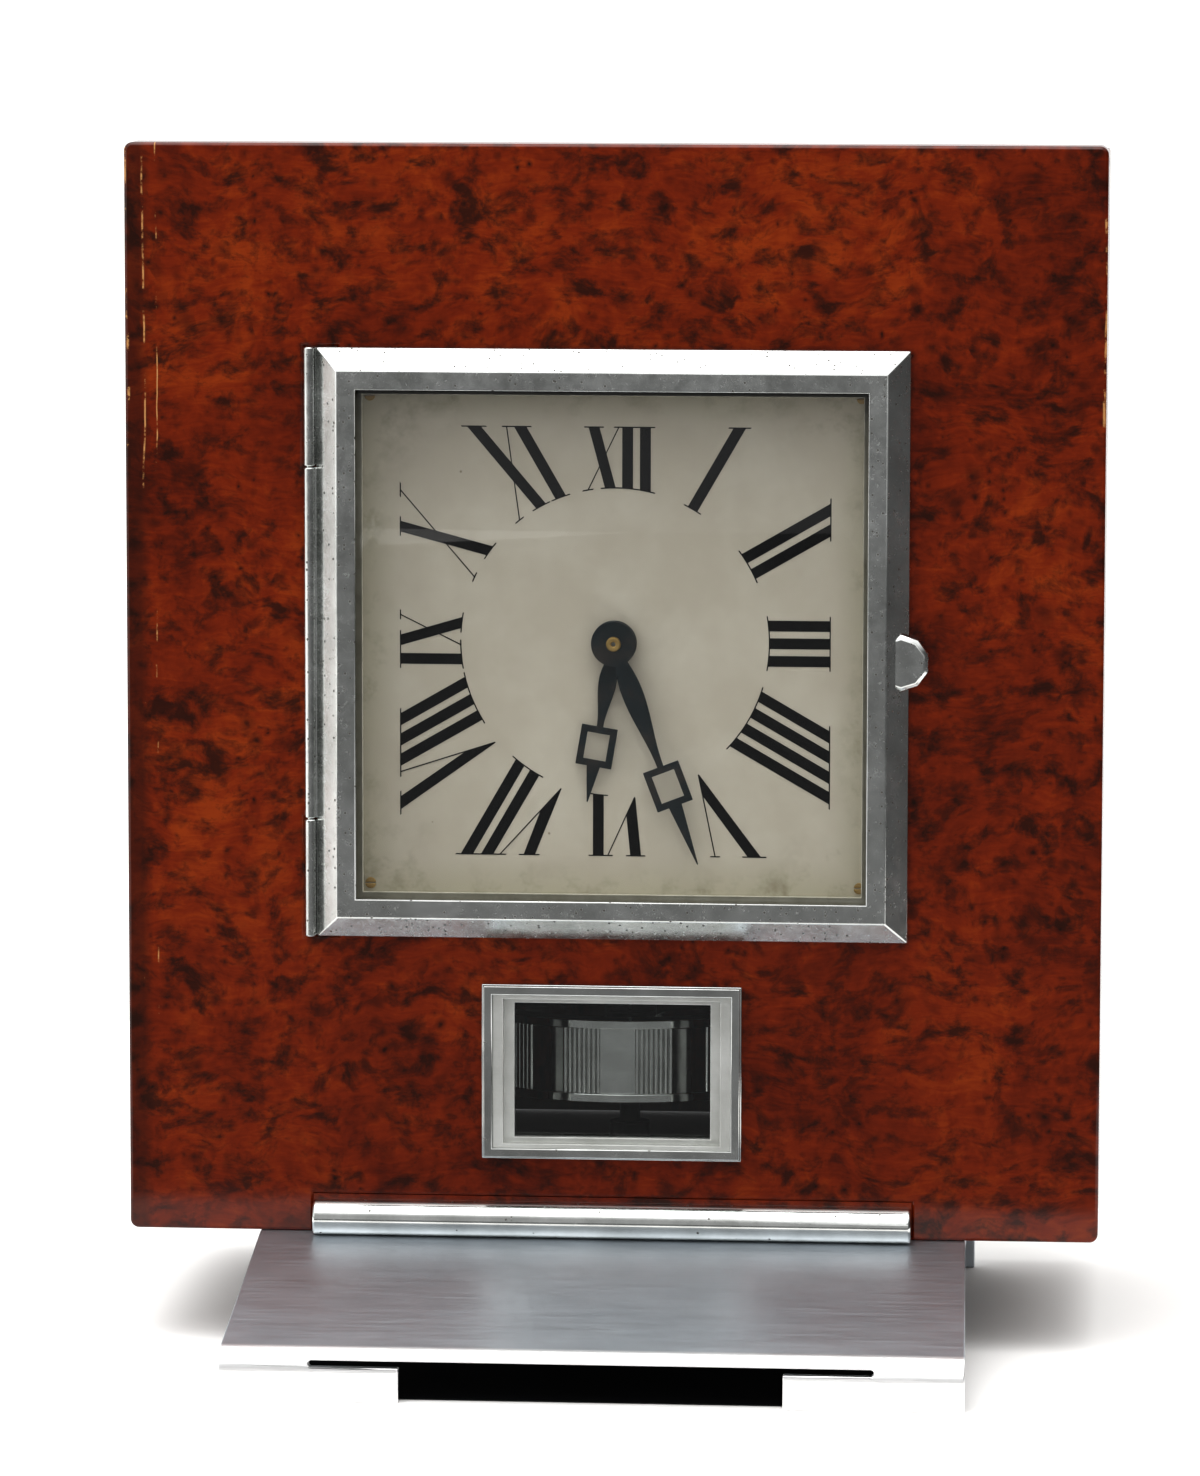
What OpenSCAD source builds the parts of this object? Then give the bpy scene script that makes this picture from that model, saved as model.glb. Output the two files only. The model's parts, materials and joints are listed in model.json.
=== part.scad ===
// Square-fronted mantel clock with a slow torsion pendulum.
// Millimetres. +X right, +Y to the back, +Z up. The origin is under the middle of the whole clock.

/* [Case] */
// Width of the wooden case
case_w = 230; // [190:1:280]
// Height of the wooden case
case_h = 258; // [212:1:312]
// Depth of the wooden case
case_d = 116; // [96:1:140]
// Thickness of the front panel
panel_t = 12; // [9:0.5:13]
// Thickness of the side, top and bottom boards
board_t = 10; // [7:0.5:12]

/* [Stand] */
// Height of the bent metal stand
stand_h = 27; // [22:0.5:36]
// How far the stand reaches out in front of the case
stand_reach = 66; // [50:1:80]
// Thickness of the stand's sheet
sheet_t = 2.5; // [1.5:0.1:3.2]

/* [Dial] */
// Height of the dial's square of numerals, as a share of the door's width
numeral_share = 0.7236; // [0.64:0.0001:0.74]
// Angle of the minute hand, clockwise from twelve
minute_at = 159; // [0:1:359]
// Angle of the hour hand, clockwise from twelve
hour_at = 189.5; // [0:0.5:359]

/* [Hidden] */
circle_fn = 64;
small_fn = 32;
run_gap = 0.05;      // radial running clearance of every shaft
part_gap = 0.35;     // free space between pieces that move past each other

// Heights and widths that follow the case.
// The boards behind the panel end a little below its top edge.
top_drop = 4.5;
box_h = case_h - top_drop;
base_w = min(case_w, case_h * 230 / 258);
door_w = base_w * 0.6057;
door_z = stand_h + case_h * 0.5455;
window_w = base_w * 0.2674;
window_h = base_w * 0.1813;
window_z = stand_h + case_h * 0.1521;
pull_len = 9;
face_y = stand_reach - (stand_reach + case_d + pull_len) / 2;
rear_d = case_d - 6;

// Front door.
door_chamfer = 5.2;
door_edge = 1;
door_gap = 0.4;
door_front = door_gap + door_edge + door_chamfer;
door_band = 4.4;
door_open = door_w - 2 * (door_chamfer + door_band);
glass_w = door_open + 2.2;
glass_back = -1.6;
glass_edge_t = 1.6;
glass_t = 3.2;
glass_bevel = 6.6;
knuckle_r = 1.3;
pin_r = 0.7;
hinge_x = -(door_w / 2 + knuckle_r + part_gap);
hinge_d = -(knuckle_r + 0.3);
knuckle_len = door_w * 0.2;
grip_r = 6.7;
grip_x = door_w / 2 - 1.8;
grip_drop = 3.1;

// Seat that the door closes on, and the dial inside it.
seat_wall = 2;
seat_in = door_open + 1.8;
seat_out = seat_in + 2 * seat_wall;
seat_flange = door_w - 5;
seat_flange_t = 1.2;
seat_d = panel_t - 1;
dial_w = seat_in - 0.4;
dial_d = 8;
dial_t = 1.2;
dial_hole_r = 3.2;
numeral_half = door_w * numeral_share / 2;
numeral_ring = numeral_half * 0.714;
numeral_t = 0.08;
stroke_w = numeral_half * 0.05;
hair_w = numeral_half * 0.0055;
stroke_pitch = numeral_half * 0.082;

// Hands.
minute_d = 3.6;
hour_d = 5.6;
hand_t = 0.6;
hub_r = 5.3;
cannon_r = 1.6;
pipe_in = cannon_r + run_gap;
pipe_out = 2.4;

// Levels of the wheels under the dial.
minute_wheel_d = 13.4;
minute_wheel_t = 1.4;
hour_wheel_d = 10.8;
hour_wheel_t = 1.4;

// Movement plates and the levels between them. The front one stands behind the panel and behind the wheels.
plate_t = 2;
front_plate_d = max(panel_t + 4, minute_wheel_d + minute_wheel_t + 0.6);
gap_d = front_plate_d + plate_t;
plate_gap = case_d * 0.2241;
back_plate_d = gap_d + plate_gap;
behind_d = back_plate_d + plate_t;
plate_half = 48;
plate_up = 34;
plate_down = 46;
ear_half = seat_out / 2 + 9;

// Gears: teeth, modules and places. The pairs share one pressure angle.
pressure = 25;
tooth_share = 0.86;
tooth_up = 0.75;
tooth_down = 1;
cannon_n = 12;
minute_wheel_n = 36;
minute_pinion_n = 10;
hour_wheel_n = 40;
motion_m = 0.5;
motion_gap = (cannon_n + minute_wheel_n) * motion_m / 2;
hour_m = 2 * motion_gap / (minute_pinion_n + hour_wheel_n);
motion_at = 120;
barrel_n = 60;
centre_pinion_n = 10;
barrel_m = 0.7;
barrel_gap = (barrel_n + centre_pinion_n) * barrel_m / 2;
barrel_at = 244;
centre_wheel_n = 48;
escape_pinion_n = 12;
escape_m = 0.6;
escape_gap = (centre_wheel_n + escape_pinion_n) * escape_m / 2;
escape_at = 60;
motion_x = motion_gap * sin(motion_at);
motion_z = motion_gap * cos(motion_at);
barrel_x = barrel_gap * sin(barrel_at);
barrel_z = barrel_gap * cos(barrel_at);
escape_x = escape_gap * sin(escape_at);
escape_z = escape_gap * cos(escape_at);
centre_wheel_d = gap_d + plate_gap * 0.08;
escape_wheel_d = gap_d + plate_gap * 0.8;
barrel_d = gap_d + plate_gap * 0.22;
barrel_tooth_d = gap_d + plate_gap * 0.62;
barrel_r = 18;
barrel_arbor_r = 2;
escape_n = 15;
escape_r = 9;
escape_arbor_r = 0.7;
pallet_rise = 14;
pallet_z = escape_z + pallet_rise;
wheel_t = 1.5;

// Torsion pendulum.
ring_d = (panel_t + rear_d) / 2;
ring_r = case_d * 0.3707;
ring_t = 6;
ring_h = 20;
ring_z = stand_h + case_h * 0.15;
rim_h = 2.2;
reed_groups = 15;
reeds = 8;
reed_r = 0.55;
reed_step = 1.6;
hub_h = 12;
wire_r = 0.3;
roller_z = door_z + 20;
head_z = door_z + 41;

// Winding motor behind the movement.
motor_d = case_d * 0.6;
motor_len = case_d * 0.19;
motor_r = 26;
motor_wall = 1.2;
ratchet_r = 8;
ratchet_n = 24;
bridge_gap = 2.4;
bridge_d = motor_d + motor_len + bridge_gap;

// Pendulum lock.
lock_r = 2.5;
lock_top = ring_z - hub_h / 2 - 4.5;

// Stand.
stand_back_w = case_w * 0.7283;
stand_front_w = case_w * 0.7435;
stand_rear_d = case_d - 10;
roll_r = 6;
rear_roll_r = 9;
bend_r = 12;
bend_n = 12;
stand_screw_r = 2;
lip_h = 6.5;
cut_w = case_w * 0.3826;
cut_h = 9.5;
slit_h = 1.5;
slit_len = 20;
bar_w = case_w * 0.6174;
bar_h = 9;
bar_sink = 1.2;

// ---- Helpers ----

// A flat shape drawn in X and Z, made solid from depth d behind the case's face, t thick.
module slab(d, t) {
    translate([0, face_y + d + t, 0])
        rotate([90, 0, 0])
            linear_extrude(height = t)
                children();
}

// The same, drawn about the dial's centre.
module dial_slab(d, t) {
    slab(d, t)
        translate([0, door_z])
            children();
}

module plain_square(w) {
    square([w, w], center = true);
}

// Points on an arc, clockwise when a1 is less than a0.
function arc(cx, cz, r, a0, a1, n) =
    [for (i = [0:n]) [cx + r * cos(a0 + (a1 - a0) * i / n), cz + r * sin(a0 + (a1 - a0) * i / n)]];

// Involute of the pressure angle a, in degrees.
function involute(a) = tan(a) * 180 / PI - a;

// Half the angle that a tooth covers at radius r.
function half_tooth(n, m, r) =
    90 / n * tooth_share + involute(pressure) - involute(acos(min(1, n * m / 2 * cos(pressure) / r)));

// A gear's outline. Its first tooth points along +X.
function gear_points(n, m) =
    let (
        root = n * m / 2 - tooth_down * m,
        tip = n * m / 2 + tooth_up * m,
        start = max(root, n * m / 2 * cos(pressure)),
        radii = [for (i = [0:3]) start + (tip - start) * i / 3]
    )
    [for (k = [0:n - 1])
        let (c = 360 * k / n)
        each concat(
            [polar(root, c - half_tooth(n, m, start))],
            [for (r = radii) polar(r, c - half_tooth(n, m, r))],
            [for (i = [3:-1:0]) polar(radii[i], c + half_tooth(n, m, radii[i]))],
            [polar(root, c + half_tooth(n, m, start))]
        )];

function polar(r, a) = [r * cos(a), r * sin(a)];

module gear(n, m, turn) {
    rotate(turn)
        polygon(gear_points(n, m));
}

// Turn that puts a gap, not a tooth, towards the direction given.
function gap_towards(direction, n) = direction + 180 / n;

// Spoked wheel: the rim is left, with four windows between the arms.
module crossing(r_out, r_in, arm) {
    difference() {
        circle(r = r_out, $fn = circle_fn);
        circle(r = r_in, $fn = circle_fn);
        plain_arm(r_out, arm);
        rotate(90)
            plain_arm(r_out, arm);
    }
}

module plain_arm(r, w) {
    square([2 * r + 2, w], center = true);
}

// ---- Stand ----

// Side view of the bent sheet: front lip, front roll, long slope, flat top and rear foot.
slope_run = stand_reach - roll_r;
slope_drop = stand_h - lip_h - roll_r;
slope = atan2(slope_drop, slope_run);

function sheet_edge(inset) =
    concat(
        [[-stand_reach + inset, 0]],
        arc(-stand_reach + roll_r, lip_h, roll_r - inset, 180, 90 + slope, bend_n),
        arc(bend_r * tan(slope / 2), stand_h - bend_r, bend_r - inset, 90 + slope, 90, bend_n / 2),
        arc(stand_rear_d - rear_roll_r, stand_h - rear_roll_r, rear_roll_r - inset, 90, 0, bend_n),
        [[stand_rear_d - inset, 0]]
    );

function backwards(p) = [for (i = [len(p) - 1:-1:0]) p[i]];

module sheet_profile() {
    polygon(concat(sheet_edge(0), backwards(sheet_edge(sheet_t))));
}

module bent_sheet() {
    translate([-stand_front_w / 2, face_y, 0])
        rotate([90, 0, 90])
            linear_extrude(height = stand_front_w)
                sheet_profile();
}

module stand_plate() {
    color("#c9c9c6")
        difference() {
            intersection() {
                bent_sheet();
                linear_extrude(height = stand_h + 1)
                    stand_plan();
            }
            stand_front_cut();
            stand_rear_cut();
            for (s = [-1, 1], d = [0.2, 0.75])
                translate([s * stand_back_w * 0.36, face_y + case_d * d, 0])
                    cylinder(r = stand_screw_r + 0.1, h = stand_h + 1, $fn = small_fn);
        }
}

module stand_plan() {
    polygon([
        [-stand_front_w / 2, face_y - stand_reach - 1],
        [stand_front_w / 2, face_y - stand_reach - 1],
        [stand_back_w / 2, face_y + 1],
        [stand_back_w / 2, face_y + case_d],
        [-stand_back_w / 2, face_y + case_d],
        [-stand_back_w / 2, face_y + 1]
    ]);
}

// Opening between the two front feet, and the thin slits that run out from it.
module stand_front_cut() {
    translate([-cut_w / 2, face_y - stand_reach - 1, -1])
        cube([cut_w, roll_r + 1, cut_h + 1]);
    for (s = [-1, 1])
        translate([s * cut_w / 2, face_y - stand_reach - 1, cut_h - slit_h / 2]) {
            translate([s > 0 ? -1 : -slit_len, 0, -slit_h / 2])
                cube([slit_len + 1, roll_r + 1, slit_h]);
            translate([s * slit_len, 0, 0])
                rotate([-90, 0, 0])
                    cylinder(r = slit_h / 2, h = roll_r + 1, $fn = small_fn);
        }
}

module stand_rear_cut() {
    translate([-cut_w / 2, face_y + stand_rear_d - rear_roll_r, -1])
        cube([cut_w, rear_roll_r + 1, cut_h + 1]);
}

// Half-round rail along the foot of the case, standing on the sheet.
module stand_bar() {
    color("#cfcfcc")
        difference() {
            translate([-bar_w / 2, face_y - 0.1, stand_h + bar_h / 2 - bar_sink])
                rotate([0, 90, 0])
                    intersection() {
                        cylinder(r = bar_h / 2, h = bar_w, $fn = circle_fn);
                        translate([-bar_h, -bar_h, 0])
                            cube([2 * bar_h, bar_h, bar_w]);
                    }
            bent_sheet();
        }
}

module stand_screws() {
    head_r = 4;
    head_t = 2;
    color("#9a9a96")
        for (s = [-1, 1], d = [0.2, 0.75])
            translate([s * stand_back_w * 0.36, face_y + case_d * d, 0]) {
                translate([0, 0, stand_h - sheet_t - head_t])
                    cylinder(r = head_r, h = head_t, $fn = small_fn);
                translate([0, 0, stand_h - sheet_t])
                    cylinder(r = stand_screw_r, h = sheet_t, $fn = small_fn);
            }
}

// ---- Case ----

module front_panel() {
    color("#7a2a0c")
        difference() {
            slab(0, panel_t)
                translate([0, stand_h + case_h / 2])
                    panel_outline();
            dial_slab(-1, panel_t + 2)
                plain_square(seat_out + 0.4);
            dial_slab(-1, seat_flange_t + 1.05)
                plain_square(seat_flange + 0.4);
            leaf_space();
            slab(-1, panel_t + 2)
                translate([0, window_z])
                    square([liner_w + 0.3, liner_h + 0.3], center = true);
            slab(-1, 1 + 0.1)
                translate([0, stand_h])
                    square([bar_w + 0.1, 2 * bar_h], center = true);
        }
}

module panel_outline() {
    corner = 2;
    difference() {
        square([case_w, case_h], center = true);
        for (s = [-1, 1], t = [-1, 1])
            translate([s * case_w / 2, t * case_h / 2])
                difference() {
                    square([2 * corner, 2 * corner], center = true);
                    translate([-s * corner, -t * corner])
                        circle(r = corner, $fn = small_fn);
                }
    }
}

// Shallow seat for the two hinge leaves, top and bottom.
module leaf_space() {
    for (t = [-1, 1])
        slab(-1, 1 + leaf_t + 0.05)
            translate([hinge_x + 2.4, door_z + t * (door_w - knuckle_len) / 2])
                square([8, knuckle_len + 0.6], center = true);
}

module side(s) {
    color("#6b250b")
        translate([s > 0 ? case_w / 2 - board_t : -case_w / 2, face_y + panel_t, stand_h])
            cube([board_t, case_d - panel_t, box_h]);
}

module side_left() {
    side(-1);
}

module side_right() {
    side(1);
}

module case_top() {
    color("#6b250b")
        translate([board_t - case_w / 2, face_y + panel_t, stand_h + box_h - board_t])
            cube([case_w - 2 * board_t, case_d - panel_t, board_t]);
}

module case_bottom() {
    color("#6b250b")
        translate([board_t - case_w / 2, face_y + panel_t, stand_h])
            cube([case_w - 2 * board_t, case_d - panel_t, board_t]);
}

// ---- Front door ----

module door_seat() {
    color("#a8a79f")
        union() {
            dial_slab(0, seat_flange_t)
                difference() {
                    plain_square(seat_flange);
                    plain_square(seat_in);
                }
            dial_slab(0, seat_d)
                difference() {
                    plain_square(seat_out);
                    plain_square(seat_in);
                }
        }
}

leaf_t = 0.8;

// Fixed half of the hinge: a leaf let into the panel at each end, with its knuckle in front.
module hinge_leaf() {
    color("#8f8e88")
        for (t = [-1, 1])
            translate([0, 0, door_z + t * (door_w - knuckle_len) / 2]) {
                difference() {
                    union() {
                        translate([hinge_x, face_y + hinge_d, -knuckle_len / 2])
                            cylinder(r = knuckle_r, h = knuckle_len, $fn = small_fn);
                        translate([hinge_x - 0.7, face_y + hinge_d, -knuckle_len / 2])
                            cube([1.4, 0.4 - hinge_d, knuckle_len]);
                    }
                    translate([hinge_x, face_y + hinge_d, -knuckle_len])
                        cylinder(r = pin_r, h = 2 * knuckle_len, $fn = small_fn);
                }
                translate([hinge_x - 0.7, face_y + 0.4, -knuckle_len / 2])
                    cube([1.4, leaf_t - 0.4, knuckle_len]);
                translate([hinge_x + 0.7, face_y, -knuckle_len / 2])
                    cube([3.2, leaf_t, knuckle_len]);
            }
}

module hinge_pin() {
    color("#77766f")
        translate([hinge_x, face_y + hinge_d, door_z - door_w / 2])
            cylinder(r = pin_r, h = door_w, $fn = small_fn);
}

// Outline of the door frame seen along one of its sides.
module door_section() {
    h = door_w / 2;
    polygon([
        [-h, -door_gap],
        [h, -door_gap],
        [h, -door_gap - door_edge],
        [h - door_chamfer, -door_front],
        [door_chamfer - h, -door_front],
        [-h, -door_gap - door_edge]
    ]);
}

module door_frame() {
    middle = door_w - 2 * knuckle_len - 2 * part_gap;
    color("#b9b9b5")
        difference() {
            union() {
                translate([0, face_y, door_z - door_w / 2])
                    linear_extrude(height = door_w)
                        door_section();
                translate([hinge_x, face_y + hinge_d, door_z - middle / 2])
                    cylinder(r = knuckle_r, h = middle, $fn = small_fn);
                translate([hinge_x, face_y - door_gap - door_edge, door_z - middle / 2])
                    cube([1 - hinge_x - door_w / 2, 0.8, middle]);
            }
            door_slopes();
            dial_slab(-door_front - 1, door_front + 1)
                plain_square(door_open);
            dial_slab(-4.2, 5)
                plain_square(glass_w + 0.4);
            translate([hinge_x, face_y + hinge_d, door_z - door_w])
                cylinder(r = pin_r + run_gap, h = 2 * door_w, $fn = small_fn);
            grip_shape(0.02);
        }
}

// Wedges cut from the top and bottom edges of the door frame.
module door_slopes() {
    for (t = [-1, 1])
        translate([-door_w, face_y, door_z])
            rotate([90, 0, 90])
                linear_extrude(height = 2 * door_w)
                    polygon([
                        [-door_gap - door_edge, t * door_w / 2],
                        [-door_front - 1, t * (door_w / 2 - door_chamfer - 1)],
                        [-door_front - 1, t * (door_w / 2 + 1)],
                        [-door_gap - door_edge, t * (door_w / 2 + 1)]
                    ]);
}

// Bevelled glass: a flat pane whose four edges slope down to a thin rim.
module door_glass() {
    h = glass_w / 2;
    color("#cfe0dc", 0.3)
        intersection() {
            translate([0, face_y, door_z - h])
                linear_extrude(height = glass_w)
                    glass_section();
            translate([h, face_y, door_z])
                rotate([0, -90, 0])
                    linear_extrude(height = glass_w)
                        glass_section();
        }
}

module glass_section() {
    h = glass_w / 2;
    polygon([
        [-h, glass_back],
        [h, glass_back],
        [h, glass_back - glass_edge_t],
        [h - glass_bevel, glass_back - glass_t],
        [glass_bevel - h, glass_back - glass_t],
        [-h, glass_back - glass_edge_t]
    ]);
}

module door_retainer() {
    color("#b08d4a")
        dial_slab(glass_back, -glass_back - 0.5)
            difference() {
                plain_square(glass_w + 0.4);
                plain_square(glass_w - 5);
            }
}

// Ten-sided thumb piece let into the door's free edge.
module grip_shape(more) {
    translate([grip_x, face_y - 1.2 + more, door_z - grip_drop])
        rotate([90, 18, 0]) {
            cylinder(r = grip_r + more, h = 2.2 + 2 * more, $fn = 10);
            translate([0, 0, 2.2 + more])
                cylinder(r1 = grip_r + more, r2 = grip_r - 1 + more, h = 1, $fn = 10);
        }
}

module door_grip() {
    color("#bdbcb6")
        grip_shape(0);
}

// ---- Pendulum window ----

window_band = 2.4;
liner_w = window_w - 2 * window_band - 0.1;
liner_h = window_h - 2 * window_band - 0.1;
step_w = liner_w - 5.2;
step_h = liner_h - 2.2;
clear_w = step_w - 4.9;
clear_h = step_h - 2.4;

module window_ring(w, h, w_in, h_in) {
    translate([0, window_z])
        difference() {
            square([w, h], center = true);
            square([w_in, h_in], center = true);
        }
}

module window_frame() {
    color("#b5b5b0")
        union() {
            slab(-1.4, 1.4)
                window_ring(window_w, window_h, liner_w, liner_h);
            slab(-2, 0.6)
                window_ring(window_w - 0.8, window_h - 0.8, liner_w, liner_h);
        }
}

module window_liner() {
    color("#c4c3bc")
        union() {
            slab(-1.2, 2.6)
                window_ring(liner_w, liner_h, step_w, step_h);
            slab(1.4, 2)
                window_ring(liner_w, liner_h, clear_w, clear_h);
        }
}

module window_glass() {
    color("#cfe0dc", 0.3)
        slab(3.4, 2)
            translate([0, window_z])
                square([liner_w - 0.4, liner_h - 0.4], center = true);
}

module window_retainer() {
    color("#3a3733")
        slab(5.4, panel_t - 5.6)
            window_ring(liner_w, liner_h, step_w, step_h);
}

// ---- Dial and numerals ----

module dial_plate() {
    color("#b3ad9c")
        dial_slab(dial_d, dial_t)
            difference() {
                plain_square(dial_w);
                circle(r = dial_hole_r, $fn = small_fn);
            }
}

// Where a point across the numeral's middle line meets the square of numerals.
// Local axes: u runs clockwise across the numeral, v runs outwards.
function edge_v(hour, u) =
    let (lean = 30 * hour - 90 * round(hour / 3))
    (numeral_half + u * sin(lean)) / cos(lean);

function ring_v(u) = sqrt(numeral_ring * numeral_ring - u * u);

module stroke(hour, u_out, u_in, w) {
    reach = 1.15;
    outer = [u_out, edge_v(hour, u_out)];
    inner = [u_in, ring_v(u_in)];
    far = inner + reach * (outer - inner);
    near = outer + reach * (inner - outer);
    polygon([
        [near[0] - w / 2, near[1]],
        [far[0] - w / 2, far[1]],
        [far[0] + w / 2, far[1]],
        [near[0] + w / 2, near[1]]
    ]);
}

// Leaf of the V: a thick stroke cut to a point along its hairline.
module vee(hour, u_thick, u_apex, u_hair) {
    w = stroke_w;
    apex = [u_apex - w / 2, ring_v(u_apex) + 0.6];
    outer = [u_thick - w / 2, edge_v(hour, u_thick)];
    hair = [u_hair, edge_v(hour, u_hair)];
    spread = hair[0] - outer[0];
    knee = apex + (hair - apex) * w / spread;
    reach = 1.2;
    polygon([
        apex,
        apex + reach * (outer - apex),
        knee + reach * (outer + [w, 0] - knee),
        knee
    ]);
    polygon([
        apex,
        apex + reach * (hair - apex) - [hair_w / 2, 0],
        apex + reach * (hair - apex) + [hair_w / 2, 0],
        apex + [hair_w, 0]
    ]);
}

// Zone between the square and the ring, and the thin lines along its two edges.
module numeral_zone() {
    difference() {
        plain_square(2 * numeral_half);
        circle(r = numeral_ring, $fn = 2 * circle_fn);
    }
}

module outer_line() {
    difference() {
        plain_square(2 * numeral_half);
        plain_square(2 * (numeral_half - hair_w));
    }
}

module inner_line() {
    difference() {
        circle(r = numeral_ring + hair_w, $fn = 2 * circle_fn);
        circle(r = numeral_ring, $fn = 2 * circle_fn);
    }
}

module to_hour(hour) {
    rotate(-30 * hour)
        children();
}

// One straight or leaning stroke with a short line across each end.
module footed_stroke(hour, u_out, u_in, w) {
    foot = numeral_half * 0.02;
    intersection() {
        to_hour(hour)
            stroke(hour, u_out, u_in, w);
        numeral_zone();
    }
    intersection() {
        to_hour(hour)
            stroke(hour, u_out, u_in, w + 2 * foot);
        union() {
            outer_line();
            inner_line();
        }
    }
}

module letter_i(hour, u) {
    footed_stroke(hour, u, u, stroke_w);
}

module letter_x(hour, thick_out, thick_in, hair_out, hair_in) {
    footed_stroke(hour, thick_out, thick_in, stroke_w);
    footed_stroke(hour, hair_out, hair_in, hair_w);
}

module letter_v(hour, thick_out, apex, hair_out) {
    foot = numeral_half * 0.02;
    intersection() {
        to_hour(hour)
            vee(hour, thick_out, apex, hair_out);
        numeral_zone();
    }
    intersection() {
        to_hour(hour)
            union() {
                stroke(hour, thick_out, apex, stroke_w + 2 * foot);
                stroke(hour, hair_out, apex, hair_w + 2 * foot);
            }
        outer_line();
    }
}

module strokes_from(hour, first, count) {
    for (i = [0:count - 1])
        letter_i(hour, first + i * stroke_pitch);
}

module dial_numerals() {
    q = numeral_half / 50.4;
    half = stroke_pitch / 2;
    color("#1d1d1f")
        dial_slab(dial_d - numeral_t, numeral_t) {
            for (count = [1:4])
                strokes_from(count, -(count - 1) * half, count);
            letter_v(5, -3.3 * q, -0.4 * q, 4.7 * q);
            letter_v(6, -5 * q, -3.6 * q, 1.6 * q);
            letter_i(6, 3.8 * q);
            letter_v(7, -7.8 * q, -5.3 * q, -1.8 * q);
            strokes_from(7, 0.8 * q, 2);
            letter_v(8, -8.1 * q, -5.5 * q, -1.7 * q);
            strokes_from(8, 0.7 * q, 3);
            letter_i(9, -4.3 * q);
            letter_x(9, 0, 4.3 * q, 6.1 * q, -1 * q);
            letter_x(10, -2 * q, 3.7 * q, 5.5 * q, -3.5 * q);
            letter_x(11, -3.5 * q, 0.9 * q, 3.2 * q, -5.2 * q);
            letter_i(11, 5.9 * q);
            letter_x(12, -5 * q, -1.1 * q, 0.9 * q, -6.4 * q);
            strokes_from(12, 2.9 * q, 2);
        }
}

module dial_screws() {
    at = dial_w / 2 - 3.4;
    color("#c9c3b0")
        for (s = [-1, 1], t = [-1, 1])
            dial_slab(dial_d - 0.5, 0.5)
                translate([s * at, t * at])
                    difference() {
                        circle(r = 1.3, $fn = small_fn);
                        square([3, 0.3], center = true);
                    }
}

module dial_feet() {
    at = dial_w / 2 - 22;
    color("#b08d4a")
        for (s = [-1, 1], t = [-1, 1])
            dial_slab(dial_d + dial_t, front_plate_d - dial_d - dial_t)
                translate([s * at, t * plate_up * 0.8])
                    circle(r = 2, $fn = small_fn);
}

// ---- Hands ----

// Half width of the leaf at a share f of its length: it swells near the hub and then thins.
function leaf_half(f, wide, narrow) =
    f < 0.3
        ? wide * (0.55 + 0.45 * sin(300 * f))
        : narrow + (wide - narrow) * (0.5 + 0.5 * cos(180 * (f - 0.3) / 0.7));

module hand_shape(len, frame_at, frame_w, frame_h, wide, bore) {
    wall = 1.6;
    leaf_end = frame_at - frame_h / 2;
    leaf_from = hub_r - 1.2;
    steps = 16;
    tip_from = frame_at + frame_h / 2;
    side = [for (i = [0:steps])
        [leaf_half(i / steps, wide, 0.75), leaf_from + (leaf_end + 0.2 - leaf_from) * i / steps]];
    difference() {
        union() {
            circle(r = hub_r, $fn = circle_fn);
            polygon(concat(side, [for (p = backwards(side)) [-p[0], p[1]]]));
            translate([0, frame_at])
                difference() {
                    square([frame_w, frame_h], center = true);
                    square([frame_w - 2 * wall, frame_h - 2 * wall], center = true);
                }
            polygon([[-1.6, tip_from - 0.2], [1.6, tip_from - 0.2], [0.12, len], [-0.12, len]]);
        }
        circle(r = bore, $fn = small_fn);
    }
}

module minute_hand() {
    len = numeral_half * 1.1;
    color("#2a3036")
        dial_slab(minute_d, hand_t)
            rotate(-minute_at)
                hand_shape(len, len * 0.645, 8.8, 9.9, 2.5, cannon_r);
}

module hour_hand() {
    len = numeral_half * 0.754;
    color("#2a3036")
        dial_slab(hour_d, hand_t)
            rotate(-hour_at)
                hand_shape(len, len * 0.65, 8.5, 9.5, 2.1, pipe_out);
}

module minute_collet() {
    color("#b39a63")
        translate([0, face_y + minute_d, door_z])
            rotate([90, 0, 0])
                rotate_extrude($fn = small_fn)
                    polygon([[0.5, 0], [1.75, 0], [1.75, 0.5], [1.5, 0.8], [0.7, 0.8], [0.5, 0.6]]);
}

// ---- Motion work under the dial ----

module cannon_pinion() {
    top = minute_wheel_d - 0.2;
    color("#8f8f8a")
        difference() {
            union() {
                dial_slab(minute_d, top - minute_d)
                    circle(r = cannon_r, $fn = small_fn);
                dial_slab(top, front_plate_d - 0.4 - top)
                    gear(cannon_n, motion_m, 90 - motion_at);
            }
            dial_slab(minute_d - 1, front_plate_d)
                circle(r = 1, $fn = small_fn);
        }
}

module minute_wheel() {
    facing = 270 - motion_at;
    color("#b99a55")
        translate([motion_x, 0, motion_z])
            difference() {
                union() {
                    dial_slab(minute_wheel_d, minute_wheel_t)
                        gear(minute_wheel_n, motion_m, gap_towards(facing, minute_wheel_n));
                    dial_slab(hour_wheel_d - 0.3, minute_wheel_d - hour_wheel_d + 0.3)
                        gear(minute_pinion_n, hour_m, facing);
                }
                dial_slab(0, 20)
                    circle(r = 0.8 + run_gap, $fn = small_fn);
            }
}

module minute_stud() {
    color("#8f8f8a")
        translate([motion_x, 0, motion_z])
            dial_slab(hour_wheel_d - 0.6, front_plate_d - hour_wheel_d + 0.6)
                circle(r = 0.8, $fn = small_fn);
}

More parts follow.
